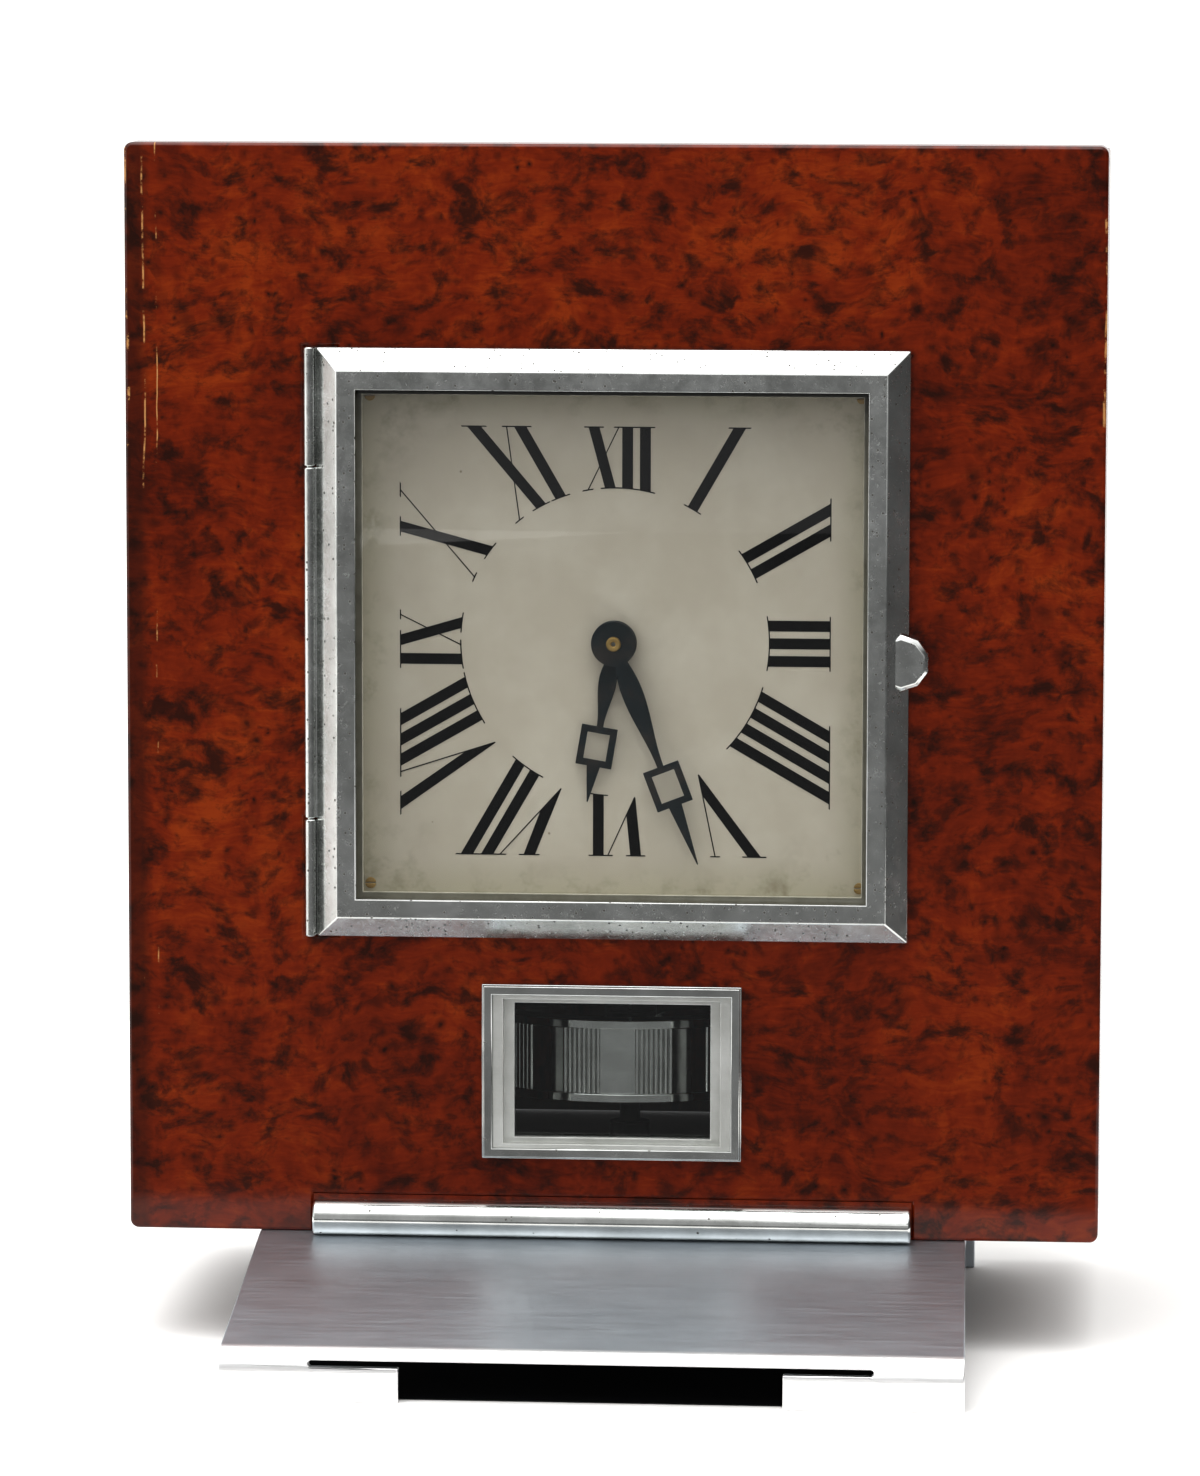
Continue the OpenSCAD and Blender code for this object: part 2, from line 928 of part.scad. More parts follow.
module hour_wheel() {
    facing = 90 - motion_at;
    color("#b99a55")
        difference() {
            union() {
                dial_slab(hour_wheel_d, hour_wheel_t)
                    gear(hour_wheel_n, hour_m, gap_towards(facing, hour_wheel_n));
                dial_slab(hour_d - 0.4, hour_wheel_d - hour_d + 0.4)
                    circle(r = pipe_out, $fn = small_fn);
            }
            dial_slab(0, 20)
                circle(r = pipe_in, $fn = small_fn);
        }
}

// ---- Movement ----

module arbor_holes() {
    circle(r = 1 + run_gap, $fn = small_fn);
    translate([barrel_x, barrel_z])
        circle(r = barrel_arbor_r + run_gap, $fn = small_fn);
    translate([escape_x, escape_z])
        circle(r = escape_arbor_r + run_gap, $fn = small_fn);
    translate([escape_x, pallet_z])
        circle(r = escape_arbor_r + run_gap, $fn = small_fn);
}

module plate_outline() {
    translate([-plate_half, -plate_down])
        square([2 * plate_half, plate_up + plate_down]);
}

module front_plate() {
    color("#b8944c")
        dial_slab(front_plate_d, plate_t)
            difference() {
                union() {
                    plate_outline();
                    square([2 * ear_half, 16], center = true);
                }
                arbor_holes();
            }
}

module back_plate() {
    color("#b8944c")
        dial_slab(back_plate_d, plate_t)
            difference() {
                plate_outline();
                arbor_holes();
            }
}

module plate_pillars() {
    color("#b08d4a")
        for (s = [-1, 1], z = [5 - plate_down, plate_up - 5])
            dial_slab(gap_d, plate_gap)
                translate([s * (plate_half - 5), z])
                    circle(r = 3, $fn = small_fn);
}

module mount_posts() {
    color("#8f8f8a")
        for (s = [-1, 1])
            dial_slab(panel_t, front_plate_d - panel_t)
                translate([s * (ear_half - 4.5), 0])
                    circle(r = 3, $fn = small_fn);
}

module centre_arbor() {
    pinion_d = barrel_tooth_d - 0.4;
    color("#8f8f8a")
        union() {
            dial_slab(minute_d + 0.4, behind_d - minute_d - 0.6)
                circle(r = 1, $fn = small_fn);
            dial_slab(pinion_d, wheel_t + 1.3)
                gear(centre_pinion_n, barrel_m, gap_towards(90 - barrel_at, centre_pinion_n));
        }
}

module centre_wheel() {
    r = centre_wheel_n * escape_m / 2;
    color("#b99a55")
        dial_slab(centre_wheel_d, wheel_t)
            difference() {
                gear(centre_wheel_n, escape_m, 90 - escape_at);
                crossing(r - 2.2, 3.5, 2);
                circle(r = 1, $fn = small_fn);
            }
}

// Going barrel: a toothed drum, open at the back and closed there by its cover.
module barrel() {
    len = barrel_tooth_d + wheel_t - barrel_d;
    color("#b99a55")
        translate([barrel_x, 0, barrel_z])
            difference() {
                union() {
                    dial_slab(barrel_d, len)
                        circle(r = barrel_r, $fn = circle_fn);
                    dial_slab(barrel_tooth_d, wheel_t)
                        gear(barrel_n, barrel_m, 270 - barrel_at);
                }
                dial_slab(barrel_d + 1.2, len)
                    circle(r = barrel_r - 1.2, $fn = circle_fn);
                dial_slab(barrel_d - 1, len + 2)
                    circle(r = barrel_arbor_r + run_gap, $fn = small_fn);
            }
}

module barrel_cover() {
    color("#b08d4a")
        translate([barrel_x, 0, barrel_z])
            dial_slab(barrel_tooth_d + wheel_t - 1, 1)
                difference() {
                    circle(r = barrel_r - 1.2, $fn = circle_fn);
                    circle(r = barrel_arbor_r + run_gap, $fn = small_fn);
                }
}

module escape_wheel() {
    step = 360 / escape_n;
    facing = 270 - escape_at;
    teeth = [for (k = [0:escape_n - 1])
        each [polar(escape_r - 2, k * step - step * 0.35), polar(escape_r - 2, k * step - step * 0.05),
            polar(escape_r, k * step)]];
    color("#c2a35c")
        translate([escape_x, 0, escape_z])
            union() {
                dial_slab(escape_wheel_d, 1)
                    difference() {
                        polygon(teeth);
                        crossing(escape_r - 3.2, 2.2, 1.2);
                    }
                dial_slab(front_plate_d + 0.2, behind_d - front_plate_d - 0.4)
                    circle(r = escape_arbor_r, $fn = small_fn);
                dial_slab(centre_wheel_d - 0.5, wheel_t + 1)
                    gear(escape_pinion_n, escape_m, gap_towards(facing, escape_pinion_n));
            }
}

// Anchor with two pads over the escape wheel, and the fork behind the back plate.
module pallet_fork() {
    pad_x = 6.1;
    pad_z = 8.7 - pallet_rise;
    tine_z = roller_z - door_z - pallet_z - 5;
    tine_d = ring_d - 4.6;
    color("#8f8f8a")
        translate([escape_x, 0, pallet_z]) {
            dial_slab(front_plate_d + 0.2, behind_d + 2 - front_plate_d)
                circle(r = escape_arbor_r, $fn = small_fn);
            dial_slab(escape_wheel_d, 1)
                difference() {
                    union() {
                        circle(r = 2, $fn = small_fn);
                        for (s = [-1, 1]) {
                            polygon([[s * 0.8, 1.6], [s * (pad_x + 0.7), pad_z + 1.2],
                                [s * (pad_x - 0.7), pad_z + 0.2], [s * 0.2, -0.8]]);
                            translate([s * pad_x, pad_z])
                                square([1.4, 1.6], center = true);
                        }
                    }
                    circle(r = escape_arbor_r, $fn = small_fn);
                }
            dial_slab(behind_d + 0.6, 1)
                difference() {
                    union() {
                        circle(r = 2, $fn = small_fn);
                        polygon([[0.6, -1.4], [-escape_x, tine_z - 0.6],
                            [-escape_x, tine_z + 0.6], [-0.6, 1.4]]);
                    }
                    circle(r = escape_arbor_r, $fn = small_fn);
                }
            dial_slab(behind_d + 1.6, tine_d - behind_d - 2.4)
                translate([-escape_x, tine_z])
                    square([1.6, 1.2], center = true);
            dial_slab(tine_d - 0.8, 1.6)
                translate([-escape_x, tine_z])
                    difference() {
                        square([4.4, 1.2], center = true);
                        translate([0, 1])
                            square([1.8, 1.6], center = true);
                    }
        }
}

// ---- Winding motor ----

module motor_arbor() {
    color("#8f8f8a")
        translate([barrel_x, 0, barrel_z])
            dial_slab(front_plate_d + 0.2, bridge_d + 2 - front_plate_d)
                circle(r = barrel_arbor_r, $fn = small_fn);
}

module ratchet_wheel() {
    step = 360 / ratchet_n;
    teeth = [for (k = [0:ratchet_n - 1])
        each [polar(ratchet_r - 0.9, k * step), polar(ratchet_r, k * step + step * 0.1)]];
    color("#a9a69c")
        translate([barrel_x, 0, barrel_z])
            dial_slab(behind_d + 0.6, 1.5)
                difference() {
                    polygon(teeth);
                    circle(r = barrel_arbor_r, $fn = small_fn);
                }
}

module click() {
    color("#a9a69c")
        translate([barrel_x - ratchet_r - 8, 0, barrel_z - 4]) {
            dial_slab(behind_d, 0.6)
                circle(r = 2.4, $fn = small_fn);
            dial_slab(behind_d + 0.6, 1.5)
                union() {
                    circle(r = 2.4, $fn = small_fn);
                    polygon([[-1, 2], [6.8, 4.4], [6.4, 3.2], [1, -2]]);
                }
        }
}

module motor_drum() {
    color("#c2a35c")
        translate([barrel_x, 0, barrel_z])
            difference() {
                dial_slab(motor_d, motor_len)
                    circle(r = motor_r, $fn = circle_fn);
                dial_slab(motor_d + motor_wall, motor_len)
                    circle(r = motor_r - motor_wall, $fn = circle_fn);
                dial_slab(motor_d - 1, motor_len)
                    circle(r = barrel_arbor_r, $fn = small_fn);
            }
}

module motor_cover() {
    color("#c2a35c")
        translate([barrel_x, 0, barrel_z])
            dial_slab(motor_d + motor_len - motor_wall, motor_wall)
                difference() {
                    circle(r = motor_r - motor_wall, $fn = circle_fn);
                    circle(r = barrel_arbor_r, $fn = small_fn);
                }
}

// Ring-shaped glass vessel that holds the liquid and the gas.
module motor_tube() {
    tube_r = min(4, motor_len / 2 - motor_wall - 1);
    color("#9fb8a8", 0.5)
        translate([barrel_x, face_y + motor_d + motor_len / 2, door_z + barrel_z])
            rotate([90, 0, 0])
                rotate_extrude($fn = circle_fn)
                    translate([motor_r - motor_wall - tube_r, 0])
                        difference() {
                            circle(r = tube_r, $fn = small_fn);
                            translate([-2 * tube_r, -tube_r])
                                square([tube_r, 2 * tube_r]);
                        }
}

pillar_off = motor_r + 4.4;

module motor_bridge() {
    color("#b8944c")
        translate([barrel_x, 0, barrel_z])
            dial_slab(bridge_d, plate_t)
                difference() {
                    square([10, 2 * pillar_off + 9], center = true);
                    circle(r = barrel_arbor_r + run_gap, $fn = small_fn);
                }
}

module bridge_pillars() {
    color("#b08d4a")
        for (t = [-1, 1])
            translate([barrel_x, 0, barrel_z + t * pillar_off])
                dial_slab(behind_d, bridge_d - behind_d)
                    circle(r = 3, $fn = small_fn);
}

// ---- Torsion pendulum ----

module head_bracket() {
    wide = 16;
    reach_d = ring_d + 6 - behind_d;
    color("#b8944c")
        union() {
            dial_slab(behind_d, 2)
                translate([-wide / 2, plate_up - 8])
                    square([wide, head_z + 3 - door_z - plate_up + 8]);
            difference() {
                translate([-wide / 2, face_y + behind_d, head_z])
                    cube([wide, reach_d, 3]);
                translate([0, face_y + ring_d, head_z - 1])
                    cylinder(r = 2.5, h = 5, $fn = small_fn);
            }
        }
}

module suspension_post() {
    color("#a9a69c")
        translate([0, face_y + ring_d, 0])
            difference() {
                union() {
                    translate([0, 0, head_z - 4])
                        cylinder(r = 2.5, h = 7, $fn = small_fn);
                    translate([0, 0, head_z + 3])
                        cylinder(r = 5, h = 1.5, $fn = small_fn);
                }
                translate([0, 0, head_z - 5])
                    cylinder(r = wire_r + run_gap, h = 5, $fn = small_fn);
            }
}

module suspension_wire() {
    low = ring_z + hub_h / 2;
    color("#8f8f8a")
        translate([0, face_y + ring_d, low])
            cylinder(r = wire_r, h = head_z - 0.6 - low, $fn = small_fn);
}

module impulse_roller() {
    color("#c2a35c")
        translate([0, face_y + ring_d, roller_z])
            difference() {
                union() {
                    cylinder(r = 5, h = 1.5, $fn = small_fn);
                    translate([0, -4.4, -2])
                        cylinder(r = 0.4, h = 2.5, $fn = small_fn);
                }
                translate([0, 0, -1])
                    cylinder(r = wire_r, h = 4, $fn = small_fn);
            }
}

// Heavy ring with bright rims, and groups of upright reeds round its band.
module pendulum_ring() {
    sector = 360 / reed_groups;
    color("#c9c6bd")
        translate([0, face_y + ring_d, ring_z])
            union() {
                rotate_extrude($fn = 2 * circle_fn)
                    polygon([
                        [ring_r - ring_t, -ring_h / 2],
                        [ring_r, -ring_h / 2],
                        [ring_r, rim_h - ring_h / 2],
                        [ring_r - 1, rim_h - ring_h / 2],
                        [ring_r - 1, ring_h / 2 - rim_h],
                        [ring_r, ring_h / 2 - rim_h],
                        [ring_r, ring_h / 2],
                        [ring_r - ring_t, ring_h / 2]
                    ]);
                for (g = [0:reed_groups - 1], k = [0:reeds - 1])
                    rotate(270 + (g + 0.5) * sector + (k - (reeds - 1) / 2) * reed_step)
                        translate([ring_r - 1, 0, rim_h / 2 - ring_h / 2])
                            cylinder(r = reed_r, h = ring_h - rim_h, $fn = 16);
            }
}

module pendulum_hub() {
    arms = 3;
    color("#b99a55")
        translate([0, face_y + ring_d, ring_z])
            difference() {
                union() {
                    translate([0, 0, -hub_h / 2])
                        cylinder(r = 6, h = hub_h, $fn = small_fn);
                    intersection() {
                        for (k = [0:arms - 1])
                            rotate(90 + k * 360 / arms)
                                translate([0, -4, -1.5])
                                    cube([ring_r, 8, 3]);
                        translate([0, 0, -2])
                            cylinder(r = ring_r - ring_t, h = 4, $fn = 2 * circle_fn);
                    }
                }
                translate([0, 0, hub_h / 2 - 0.01])
                    cylinder(r = wire_r, h = 1, $fn = small_fn);
            }
}

// ---- Pendulum lock ----

module lock_guide() {
    color("#b08d4a")
        translate([0, face_y + ring_d, stand_h + board_t])
            difference() {
                union() {
                    cylinder(r = 9, h = 2, $fn = circle_fn);
                    cylinder(r = 5, h = 7, $fn = small_fn);
                }
                translate([0, 0, -1])
                    cylinder(r = lock_r + run_gap, h = 9, $fn = small_fn);
            }
}

module lock_plunger() {
    low = stand_h + board_t + 0.4;
    color("#8f8f8a")
        translate([0, face_y + ring_d, 0])
            union() {
                translate([0, 0, low])
                    cylinder(r = lock_r, h = lock_top - low, $fn = small_fn);
                translate([0, 0, lock_top - 1.5])
                    cylinder(r = 5, h = 1.5, $fn = small_fn);
            }
}

// ---- Rear door ----

rear_gap = 0.6;
rear_knuckle_r = 2;
rear_pin_r = 1;
rear_x = case_w / 2 - board_t;
rear_hinge_d = case_d + rear_knuckle_r + 0.3;
rear_low = stand_h + board_t;
rear_high = stand_h + box_h - board_t;
rear_knuckle = (rear_high - rear_low) * 0.2;

module rear_door() {
    color("#5a3a22")
        difference() {
            translate([-rear_x + rear_gap, face_y + rear_d, rear_low + rear_gap])
                cube([2 * (rear_x - rear_gap), case_d - rear_d, rear_high - rear_low - 2 * rear_gap]);
            translate([0, face_y + case_d - 4, door_z])
                rotate([-90, 0, 0])
                    cylinder(r = 1.5, h = 10, $fn = small_fn);
        }
}

// Tube of the back hinge, len high from height z, with a hole of radius bore.
module rear_knuckle_at(z, len, bore) {
    translate([rear_x - 0.3, face_y + rear_hinge_d, z])
        difference() {
            cylinder(r = rear_knuckle_r, h = len, $fn = small_fn);
            translate([0, 0, -1])
                cylinder(r = bore, h = len + 2, $fn = small_fn);
        }
}

module rear_hinge() {
    color("#b08d4a")
        for (t = [0, 1]) {
            z = t == 0 ? rear_low + rear_knuckle : rear_high - 2 * rear_knuckle;
            rear_knuckle_at(z, rear_knuckle, rear_pin_r);
            translate([rear_x - 0.3 + rear_knuckle_r - 0.6, face_y + case_d, z])
                cube([6, 1, rear_knuckle]);
        }
}

rear_leaf_z = rear_low + 2 * rear_knuckle + 0.5;
rear_leaf_len = rear_high - 2 * rear_knuckle - 0.5 - rear_leaf_z;

module rear_pin() {
    color("#8f8f8a")
        translate([rear_x - 0.3, face_y + rear_hinge_d, rear_low + rear_knuckle])
            cylinder(r = rear_pin_r, h = rear_high - rear_low - 2 * rear_knuckle, $fn = small_fn);
}

module rear_pull() {
    color("#b08d4a") {
        rear_knuckle_at(rear_leaf_z, rear_leaf_len, rear_pin_r + run_gap);
        translate([rear_x - 8.3, face_y + case_d, rear_leaf_z])
            cube([7, 1, rear_leaf_len]);
        translate([0, face_y + case_d, door_z])
            rotate([-90, 0, 0])
                rotate_extrude($fn = small_fn)
                    polygon([[0, -4], [1.5, -4], [1.5, 0], [4, 0], [3, 2], [3, 4],
                        [6, 6], [6, 8], [5, pull_len], [0, pull_len]]);
    }
}

stand_plate();
stand_bar();
stand_screws();
front_panel();
side_left();
side_right();
case_top();
case_bottom();
door_seat();
hinge_leaf();
hinge_pin();
door_frame();
door_glass();
door_retainer();
door_grip();
window_frame();
window_liner();
window_glass();
window_retainer();
dial_plate();
dial_numerals();
dial_screws();
dial_feet();
hour_hand();
hour_wheel();
minute_hand();
minute_collet();
cannon_pinion();
centre_arbor();
centre_wheel();
minute_wheel();
minute_stud();
front_plate();
back_plate();
plate_pillars();
mount_posts();
barrel();
barrel_cover();
escape_wheel();
pallet_fork();
motor_arbor();
ratchet_wheel();
click();
motor_drum();
motor_cover();
motor_tube();
motor_bridge();
bridge_pillars();
head_bracket();
suspension_post();
pendulum_ring();
pendulum_hub();
suspension_wire();
impulse_roller();
lock_guide();
lock_plunger();
rear_door();
rear_hinge();
rear_pin();
rear_pull();
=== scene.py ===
import json
import math

import bmesh
import bpy
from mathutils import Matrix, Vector

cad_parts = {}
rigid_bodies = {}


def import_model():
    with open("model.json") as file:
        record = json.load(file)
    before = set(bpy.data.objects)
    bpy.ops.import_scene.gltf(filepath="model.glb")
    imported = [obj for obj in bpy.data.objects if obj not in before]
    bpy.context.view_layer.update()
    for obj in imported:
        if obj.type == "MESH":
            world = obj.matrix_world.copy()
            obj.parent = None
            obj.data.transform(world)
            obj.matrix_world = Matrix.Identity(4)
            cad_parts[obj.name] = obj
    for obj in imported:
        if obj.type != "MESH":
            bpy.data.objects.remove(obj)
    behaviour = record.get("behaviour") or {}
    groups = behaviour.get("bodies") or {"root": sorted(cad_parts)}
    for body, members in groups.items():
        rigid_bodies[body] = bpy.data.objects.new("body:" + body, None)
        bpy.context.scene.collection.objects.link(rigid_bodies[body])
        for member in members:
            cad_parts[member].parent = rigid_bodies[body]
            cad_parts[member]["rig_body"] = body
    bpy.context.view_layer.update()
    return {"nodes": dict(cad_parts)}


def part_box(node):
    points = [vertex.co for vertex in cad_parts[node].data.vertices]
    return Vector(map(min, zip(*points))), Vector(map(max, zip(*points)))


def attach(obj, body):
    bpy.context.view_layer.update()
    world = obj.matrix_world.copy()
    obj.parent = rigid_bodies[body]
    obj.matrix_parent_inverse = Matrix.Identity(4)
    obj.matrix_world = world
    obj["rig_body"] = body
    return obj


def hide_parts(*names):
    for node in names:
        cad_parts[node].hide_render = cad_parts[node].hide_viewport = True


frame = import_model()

mm = 0.001
bpy.context.scene.view_settings.view_transform = "Standard"
bpy.context.scene.view_settings.look = "Medium High Contrast"


def hexColour(text):
    # sRGB hex to the linear colour that the sockets take
    parts = [int(text[i:i + 2], 16) / 255 for i in (1, 3, 5)]
    linear = [c / 12.92 if c <= 0.04045 else ((c + 0.055) / 1.055) ** 2.4 for c in parts]
    return (*linear, 1)


def addNode(tree, kind, values):
    # a node or socket is linked, a name that the node has is set, and any other is one of its sockets
    made = tree.nodes.new("ShaderNode" + kind)
    for name, value in values.items():
        if isinstance(value, bpy.types.Node):
            value = next(socket for socket in value.outputs if socket.enabled)
        if isinstance(value, bpy.types.NodeSocket):
            tree.links.new(value, made.inputs[name])
        elif name == "stops":
            while len(made.color_ramp.elements) < len(value):
                made.color_ramp.elements.new(1)
            for stop, (place, colour) in zip(made.color_ramp.elements, value):
                stop.position = place
                stop.color = hexColour(colour)
        elif isinstance(name, str) and hasattr(made, name):
            setattr(made, name, value)
        else:
            made.inputs[name].default_value = hexColour(value) if isinstance(value, str) else value
    return made


def startMaterial(name, surface):
    # the shader with its constant values, and object coordinates counted in millimetres
    made = bpy.data.materials.new(name)
    made.use_nodes = True
    tree = made.node_tree
    tree.nodes.clear()
    body = addNode(tree, "BsdfPrincipled", surface)
    addNode(tree, "OutputMaterial", {"Surface": body})
    place = addNode(tree, "TexCoord", {})
    where = addNode(tree, "Mapping", {"Vector": place.outputs["Object"], "Scale": (1000, 1000, 1000)})
    return made, tree, body, where


# A long lens, a little above the clock's middle and to its right.
cameraView = {"target": (-2.94, -29.5, 145.8), "distance": 1646.9, "azimuth": 4.37, "elevation": 6.98,
              "roll": 0.1, "lens": 170.85}


def placeCamera():
    lens = bpy.data.cameras.new("clockCamera")
    lens.lens = cameraView["lens"]
    lens.sensor_width = 36
    lens.clip_end = 200
    camera = bpy.data.objects.new("clockCamera", lens)
    bpy.context.scene.collection.objects.link(camera)
    side, lift = math.radians(cameraView["azimuth"]), math.radians(cameraView["elevation"])
    back = Vector((math.sin(side) * math.cos(lift), -math.cos(side) * math.cos(lift), math.sin(lift)))
    camera.location = (Vector(cameraView["target"]) + back * cameraView["distance"]) * mm
    camera.rotation_euler = back.to_track_quat("Z", "Y").to_euler()
    camera.rotation_euler.rotate_axis("Z", math.radians(cameraView["roll"]))
    bpy.context.scene.camera = camera


placeCamera()
print("camera placed")


panelLow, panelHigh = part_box("front_panel")

# Amboyna burl veneer under French polish: red-brown with orange clouds, small dark patches, dark bud eyes
# each in a darker halo, faint level streaks, and a clear film that gives sharp soft-edged reflections.
burl = {"dark": "#2b0a01", "red": "#4e1401", "brown": "#631d01", "orange": "#792e05", "mottle": "#1b0a04",
        "eye": "#140803", "halo": "#280a02", "worn": "#a5794c",
        # size in mm, detail, roughness, distortion and share of the tone
        "figure": (11, 7, 0.58, 0.3, 0.5), "streak": (1.7, 5, 0.6, 1.2, 0.32),
        "cloud": (46, 2, 0.4, 0, 0.42), "swirl": (4.2, 4, 0.6, 1.0, 0.22),
        # sizes in mm
        "drift": 34, "push": 15, "patch": 5.4, "crowd": 30, "film": 34, "filmDepth": 0.4, "strip": 6,
        "stripFade": 2.5,
        # spacing and radius in mm, and the share of the eyes that never grew
        "eyes": ((7.4, 0.72, 0.38), (3.6, 0.4, 0.55)),
        "coat": 0.6, "wornCoat": 0.1}


def burlVeneer(name, shift=(0, 0, 0), wornHalfWidth=0):
    made, tree, body, where = startMaterial(name, {
        "Roughness": 0.42, "IOR": 1.5, "Specular IOR Level": 0.06, "Coat Weight": burl["coat"],
        "Coat Roughness": 0.07, "Coat IOR": 1.45})
    grown = addNode(tree, "VectorMath", {"operation": "ADD", 0: where, 1: shift})
    drift = addNode(tree, "TexNoise", {"Vector": grown, "Scale": 1 / burl["drift"], "Detail": 3})
    pushed = addNode(tree, "VectorMath", {"operation": "MULTIPLY_ADD", 0: drift.outputs["Color"],
                                          1: [burl["push"]] * 3, 2: grown})
    level = addNode(tree, "Mapping", {"Vector": pushed, "Scale": (0.22, 0.22, 1)})
    tone = 0
    for place, layer in ((pushed, "figure"), (level, "streak"), (grown, "cloud"), (pushed, "swirl")):
        size, detail, rough, distorted, share = burl[layer]
        pattern = addNode(tree, "TexNoise", {"Vector": place, "Scale": 1 / size, "Detail": detail,
                                             "Roughness": rough, "Distortion": distorted})
        tone = addNode(tree, "Math", {"operation": "MULTIPLY_ADD", 0: pattern, 1: share, 2: tone})
    colour = addNode(tree, "ValToRGB", {"Fac": tone, "stops": [
        (0.5, burl["dark"]), (0.63, burl["red"]), (0.76, burl["brown"]), (0.93, burl["orange"])]})
    # dark patches, a little wider than they are high, broken up by fine fibres
    wide = addNode(tree, "Mapping", {"Vector": pushed, "Scale": (0.72, 0.72, 1)})
    mottling = addNode(tree, "TexNoise", {"Vector": wide, "Scale": 1 / burl["patch"], "Detail": 6,
                                          "Roughness": 0.66, "Distortion": 0.25})
    mottling = addNode(tree, "MapRange", {"Value": mottling, "From Min": 0.48, "From Max": 0.64,
                                          "To Max": 0.85})
    colour = addNode(tree, "Mix", {"data_type": "RGBA", 0: mottling, 6: colour, 7: burl["mottle"]})
    colour = addEyes(tree, grown, colour)
    if wornHalfWidth:
        # older, darker polish in a strip down the left edge
        across = addNode(tree, "SeparateXYZ", {"Vector": where})
        strip = addNode(tree, "MapRange", {
            "Value": across.outputs["X"], "From Min": burl["strip"] - burl["stripFade"] - wornHalfWidth,
            "From Max": burl["strip"] - wornHalfWidth, "To Min": 0.55, "To Max": 0})
        colour = addNode(tree, "Mix", {"data_type": "RGBA", 0: strip, 6: colour, 7: burl["mottle"]})
        worn = rubbedEdges(tree, where, across, wornHalfWidth)
        colour = addNode(tree, "Mix", {"data_type": "RGBA", 0: worn, 6: colour, 7: burl["worn"]})
        dulled = addNode(tree, "MapRange", {"Value": worn, "To Min": burl["coat"],
                                            "To Max": burl["wornCoat"]})
        tree.links.new(dulled.outputs["Result"], body.inputs["Coat Weight"])
    tree.links.new(colour.outputs[2], body.inputs["Base Color"])
    film = addNode(tree, "TexNoise", {"Vector": where, "Scale": 1 / burl["film"], "Detail": 2})
    ripple = addNode(tree, "Bump", {"Height": film, "Strength": 0.25, "Distance": burl["filmDepth"] * mm})
    tree.links.new(ripple.outputs["Normal"], body.inputs["Coat Normal"])
    return made


def addEyes(tree, where, colour):
    # crowded in some places and few in others, none of them round
    crowd = addNode(tree, "TexNoise", {"Vector": where, "Scale": 1 / burl["crowd"], "Detail": 2})
    crowd = addNode(tree, "MapRange", {"Value": crowd, "From Min": 0.36, "From Max": 0.6, "To Min": 0.25})
    wobble = addNode(tree, "TexNoise", {"Vector": where, "Scale": 1 / 3, "Detail": 2})
    bent = addNode(tree, "VectorMath", {"operation": "MULTIPLY_ADD", 0: wobble.outputs["Color"],
                                        1: (2.2, 2.2, 2.2), 2: where})
    for spacing, radius, missing in burl["eyes"]:
        cells = addNode(tree, "TexVoronoi", {"Vector": bent, "Scale": 1 / spacing})
        pick = addNode(tree, "SeparateColor", {"Color": cells.outputs["Color"]})
        size = addNode(tree, "MapRange", {"Value": pick.outputs["Green"], "To Min": 0.7, "To Max": 1.5})
        away = addNode(tree, "Math", {"operation": "DIVIDE", 0: cells, 1: size})
        grew = addNode(tree, "MapRange", {"Value": pick.outputs["Red"], "From Min": missing,
                                          "From Max": missing + 0.05})
        grew = addNode(tree, "Math", {"operation": "MULTIPLY", 0: grew, 1: crowd})
        for inner, outer, strength, shade in ((0.7, 3.6, 0.78, "halo"), (0.3, 1.35, 0.85, "eye")):
            spot = addNode(tree, "MapRange", {"Value": away, "From Min": radius * inner / spacing,
                                              "From Max": radius * outer / spacing, "To Min": strength,
                                              "To Max": 0})
            spot = addNode(tree, "Math", {"operation": "MULTIPLY", 0: spot, 1: grew})
            colour = addNode(tree, "Mix", {"data_type": "RGBA", 0: spot, 6: colour, 7: burl[shade]})
    return colour


# Polish worn through to pale wood on the panel's face, in thin broken lines beside its upright edges and
# mostly high up. Each line: distance in from the left or right edge, half width and length of its gaps, all
# in mm, and the share that is missing.
wear = {"left": ((4.4, 0.28, 14, 0.52), (7.4, 0.2, 22, 0.5), (0.4, 0.4, 6, 0.58)),
        "right": ((0.4, 0.4, 8, 0.58),),
        "waver": 26, "sway": 1.2, "few": 185, "many": 225, "skin": (0.8, 1.4)}


